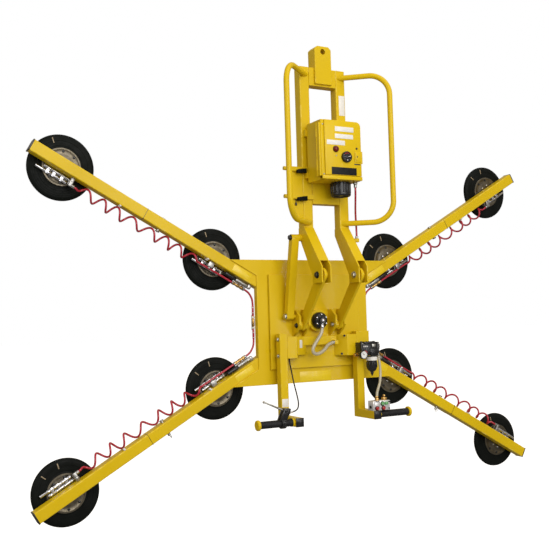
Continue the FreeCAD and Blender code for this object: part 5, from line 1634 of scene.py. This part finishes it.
@dataclass
class HubFittings:
    """The rotary union on the hub: a black dome with bright screws and the hose's swivel."""

    centre: Point = (0.0, -128.0, 0.0)
    screw_circle: float = 28.0
    swivel: Pair = (0.0, -160.0)
    port: Pair = (-137.0, -103.3)
    dome_profile: Profile = field(default_factory=lambda: [
        (0, 0), (38, 0), (39, 1.5), (39, 14), (38, 19), (34.5, 25), (28, 30), (19, 33.5), (17, 36), (17, 40),
        (15, 42), (0, 42)])
    screw_profile: Profile = field(default_factory=lambda: [
        (0, 0), (4.6, 0), (4.6, 3), (3.6, 5.4), (1.8, 6.4), (0, 6.6)])

    def build(self) -> None:
        """Make the dome, its screws and the swivel."""
        dome = Shaper().turned(self.dome_profile, self.centre, FRONT, 56)
        dome.piece("union_dome", BLACK, "tilt_frame", "rotary_union")
        screws = Shaper()
        for cosine, sine in around(6, 0.5):
            spot = (self.screw_circle * cosine, -156, self.screw_circle * sine)
            screws.turned(self.screw_profile, spot, FRONT, 20)
        screws.turned([(0, 0), (9, 0), (9, 3), (7, 6), (3.5, 7.8), (0, 8.2)], (0, -169, 0), FRONT, 28)
        screws.piece("union_screws", CHROME, "tilt_frame")
        swivel = Shaper().spans(Axis.Z, self.swivel, (-12, -22, 10.4, 1.0, 6), (-20, -36, 9.2, 0.9, 28))
        swivel.piece("union_swivel", CHROME, "tilt_frame")
        port = Shaper().spans(Axis.X, self.port, (76, 68, 9.4, 0.9, 6), (70, 62, 9.0, 0.8, 28))
        port.piece("union_port", ZINC, "tilt_frame")


@dataclass
class Fasteners:
    """The pivot bolts, the frame's bolts and screws, the arms' hitch pins, and the left bracket's web."""

    knee: Pair = (-332.0, 200.0)
    link_top: Pair = (-199.0, 376.0)
    link_foot: Point = (-174.0, -130.0, 22.0)
    lug: Pair = (-143.0, -20.0)
    post_bolts: Pair = (-80.0, -154.0)
    post_depth: float = -141.0
    pin: float = 855.0

    def build(self) -> None:
        """Make every fastener."""
        self.pivots()
        self.frame_bolts()
        self.hitch_pins()

    def pivots(self) -> None:
        """Make the bolts of the legs' knees and the link's top."""
        bolts, dark = Shaper(), Shaper()
        for side, way, shape in ((1, RIGHT, bolts), (-1, LEFT, dark)):
            shape.spans(Axis.X, self.knee, (side * 71, side * 121, 9.8, 0.5, 24))
            shape.hex_bolt((side * 121, *self.knee), way, 12.5, 8, 15.5)
            shape.hex_bolt((side * 71, *self.knee), -way, 12.5, 8, 15.5)
        dark.spans(Axis.X, self.link_top, (-71, -176, 9.8, 0.5, 24))
        dark.hex_bolt((-174.5, *self.link_top), LEFT, 11, 8, 13)
        dark.hex_bolt((-71, *self.link_top), RIGHT, 12.5, 8, 15.5)
        bolts.piece("pivot_bolts", ZINC, "lift_frame", "leg_pivot_bolts")
        dark.piece("left_pivot_bolts", BLACK, "lift_frame")
        bush = [(10, 0), (15, 0), (16, 1), (16, 15.7), (15, 16.7), (10, 16.7)]
        spacer = Shaper().turned(bush, (-121, *self.link_top), LEFT, 32)
        spacer.piece("link_spacer", YELLOW, "lift_frame")
        Shaper().hex_bolt(self.link_foot, LEFT, 13.2, 7, 15.5).piece("link_foot_bolt", ZINC, "tilt_link")

    def frame_bolts(self) -> None:
        """Make the tilt frame's bolts, its dark screws and the left bracket's web."""
        bolts, dark = Shaper(), Shaper()
        for side, way, shape in ((1, RIGHT, bolts), (-1, LEFT, dark)):
            shape.spans(Axis.X, self.lug, (side * 66, side * 126, 9.8, 0.5, 24))
            shape.hex_bolt((side * 125, *self.lug), way, 9, 6.5, 12)
            shape.hex_bolt((side * 67, *self.lug), -way, 9, 6.5, 12)
            for level in self.post_bolts:
                bolts.hex_bolt((side * POST_OUTER, self.post_depth, level), way, 8.6, 5.4, 11)
                shank = (side * POST_INNER, side * POST_OUTER, 6, 0.5, 20)
                bolts.spans(Axis.X, (self.post_depth, level), shank)
        bolts.piece("frame_bolts", ZINC, "tilt_frame", "tilt_frame_bolts")
        dark.piece("lug_bolt_left", BLACK, "tilt_frame")
        screws = Shaper()
        for x, z in ((118, -74), (101, -157)):
            screws.socket_screw((x, -160, z), FRONT, 5.4, 4.6)
        screws.piece("bracket_screws", BLACK, "tilt_frame")
        web = Shaper().bar((-127, -146, -112), (-66, -117, -112), 84, 5, WEB_FRONT, 1.0)
        web.piece("bracket_web", YELLOW, "tilt_frame")
        label = Shaper().bar((-111, -141.4, -104), (-93, -132.8, -104), 36, 1.0, WEB_FRONT, 0.2)
        label.piece("bracket_label", LABEL, "tilt_frame")

    def hitch_pins(self) -> None:
        """Make the hitch pins of the extension arms, with their ring pulls."""
        for corner in Corner:
            line = (self.pin, -59)
            pin = Shaper(arm_frame(corner)).spans(Axis.Y, line, (-18, 46, 6, 1.2, 28), (44, 50, 9, 0.9, 28))
            if corner.value[1] < 0:
                pin.spans(Axis.Y, line, (50, 60, 6.5, 1.4, 28)).ring((self.pin, 58, -68), ARM_ALONG, 11, 1.2)
            pin.ring((self.pin, -15, -59), ARM_ACROSS, 8.6, 1.6, 24)
            piece = pin.piece(f"hitch_pin_{corner.label}", ZINC, "pad_frame")
            if corner is Corner.UPPER_RIGHT:
                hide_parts("arm_pins")


@dataclass
class Labels:
    """The blank labels of the frames and arms."""

    thickness: float = 0.7

    def build(self) -> None:
        """Make every label."""
        self.flat("upright_label", LABEL, "lift_frame", (85, 116), (946, 1039), -231)
        self.flat("post_label", LABEL, "tilt_frame", (-220, -188), (-381, -345), -160)
        self.flat("plate_label", PALE_LABEL, "pad_frame", (-86, 80), (-280, -234), -90)
        for corner in Corner:
            label = Shaper(arm_frame(corner)).block((380, 4, -84 - self.thickness), (478, 35, -83.6), 0.2)
            label.piece(f"arm_label_{corner.label}", PALE_LABEL, "pad_frame")

    def flat(self, name: str, finish: Finish, body: str, across: Pair, level: Pair, front: float) -> None:
        """Make one label on a face that looks to the front.

        Args:
            name: The piece's name.
            finish: Its finish.
            body: The body that it rides on.
            across: Its ends in X.
            level: Its ends in Z.
            front: Y of the face.
        """
        low, high = zip(across, (front - self.thickness, front + 0.4), level)
        Shaper().block(low, high, 0.2).piece(name, finish, body)


@dataclass
class Studio:
    """Camera, lights, white surround and floor."""

    lens: float = 53.76
    sensor: float = 36.0
    yaw: float = math.radians(-27.89)
    pitch: float = math.radians(-2.99)
    roll: float = math.radians(-1.66)
    eye: Point = (-1960.0, -3409.0, 18.0)
    aim: Point = (0.0, 0.1, -1.0)
    floor_gap: float = 0.72
    floor_size: float = 60.0
    floor_colour: Point = (0.8, 0.8, 0.8)
    floor_roughness: float = 0.9
    floor_glow: float = 0.80
    floor_bounce: float = 0.3
    surround_light: float = 0.46
    surround_tint: Point = (1.0, 0.92, 0.80)

    def build(self) -> None:
        """Make the whole studio."""
        self.camera()
        self.surround()
        self.floor()
        self.area("key_light", (-0.3, -4.8, 0.4), (4.4, 3.6), 175)
        self.area("fill_light", (-4.4, -1.4, 0.2), (2.6, 2.6), 34)
        self.area("top_light", (0.6, -1.6, 2.6), (2.6, 2.6), 30)
        self.area("left_strip", (1.66, -3.2, -1.2), (0.14, 1.3), 4)
        self.area("right_strip", (2.12, -3.2, -1.2), (0.10, 1.3), 3)

    def camera(self) -> None:
        """Put the camera where the photograph was taken."""
        right = Vector((math.cos(self.yaw), math.sin(self.yaw), 0))
        ahead = Vector((-math.sin(self.yaw) * math.cos(self.pitch), math.cos(self.yaw) * math.cos(self.pitch),
                        -math.sin(self.pitch)))
        up = right.cross(ahead)
        lean = (math.cos(self.roll), math.sin(self.roll))
        across = right * lean[0] + up * lean[1]
        upward = up * lean[0] - right * lean[1]
        data = bpy.data.cameras.new("camera")
        data.lens = self.lens
        data.sensor_width = self.sensor
        camera = link("camera", data)
        turn = Matrix((across, upward, -ahead)).transposed().to_4x4()
        camera.matrix_world = Matrix.Translation(hub(*self.eye)) @ turn
        bpy.context.scene.camera = camera

    def surround(self) -> None:
        """Make the surround: white to the camera, softer as a light."""
        scene = bpy.context.scene
        scene.view_settings.view_transform = "Standard"
        scene.world = bpy.data.worlds.new("surround")
        scene.world.use_nodes = True
        tree = scene.world.node_tree
        glow = tree.nodes["Background"]
        fill(glow, {"Color": (*self.surround_tint, 1), "Strength": self.surround_light})
        camera_split(tree, "World Output", glow, add_node(tree, "Background", {"Color": (1, 1, 1, 1)}))

    def floor(self) -> None:
        """Lay a pale floor below the lifter, clear of the pad frame as it turns."""
        low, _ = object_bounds()
        shape = bmesh.new()
        bmesh.ops.create_grid(shape, x_segments=1, y_segments=1, size=self.floor_size,
                              matrix=Matrix.Translation((0, 0, low[2] - self.floor_gap)))
        mesh = bpy.data.meshes.new("floor")
        shape.to_mesh(mesh)
        shape.free()
        paint = bpy.data.materials.new("floor_paint")
        paint.use_nodes = True
        tree = paint.node_tree
        shader = tree.nodes["Principled BSDF"]
        fill(shader, {"Base Color": (*self.floor_colour, 1), "Roughness": self.floor_roughness,
                      "Specular IOR Level": 0.0, "Emission Color": (1, 1, 1, 1),
                      "Emission Strength": self.floor_glow})
        bounce = add_node(tree, "BsdfDiffuse", {"Color": (*[self.floor_bounce] * 3, 1)})
        camera_split(tree, "Material Output", bounce, shader)
        mesh.materials.append(paint)
        link("floor", mesh)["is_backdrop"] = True

    def area(self, name: str, spot: Point, size: Pair, power: float) -> None:
        """Add a soft lamp that looks at the lifter's middle.

        Args:
            name: The lamp's name.
            spot: Where it stands, in the part's frame.
            size: Its width and height in metres.
            power: Its power in watts.
        """
        data = bpy.data.lights.new(name, "AREA")
        data.shape = "RECTANGLE"
        data.size, data.size_y = size
        data.energy = power
        way = Vector(self.aim) - Vector(spot)
        turn = way.to_track_quat("-Z", "Y").to_matrix().to_4x4()
        link(name, data).matrix_world = Matrix.Translation(spot) @ turn


def dress_rest(frame: dict) -> None:
    """Give every CAD node that still shows its finish.
    """
    finishes = (YELLOW, GRIP, BLACK, ZINC, CHROME, ALUMINIUM, DIAL_WHITE, RED_HOSE, CLEAR_HOSE, LENS, RED,
                GREEN)
    by_slot = {finish.slot: finish for finish in finishes}
    for part in frame["record"]["subparts"]:
        piece = frame["nodes"][part["node"]]
        piece.data.materials.clear()
        piece.data.materials.append(by_slot[part["material_slot"]].material())


def main() -> None:
    """Build every sub-assembly around the frame, in order."""
    logging.basicConfig(level=logging.INFO, format="%(name)s %(message)s")
    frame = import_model()
    HoseLoom().build()
    SteelWork(frame).build()
    VacuumPads().build()
    HoseFittings().build()
    ControlBox().build()
    AirUnit().build()
    Handles().build()
    HubFittings().build()
    Fasteners().build()
    Labels().build()
    dress_rest(frame)
    Studio().build()


if __name__ == "__main__":
    main()
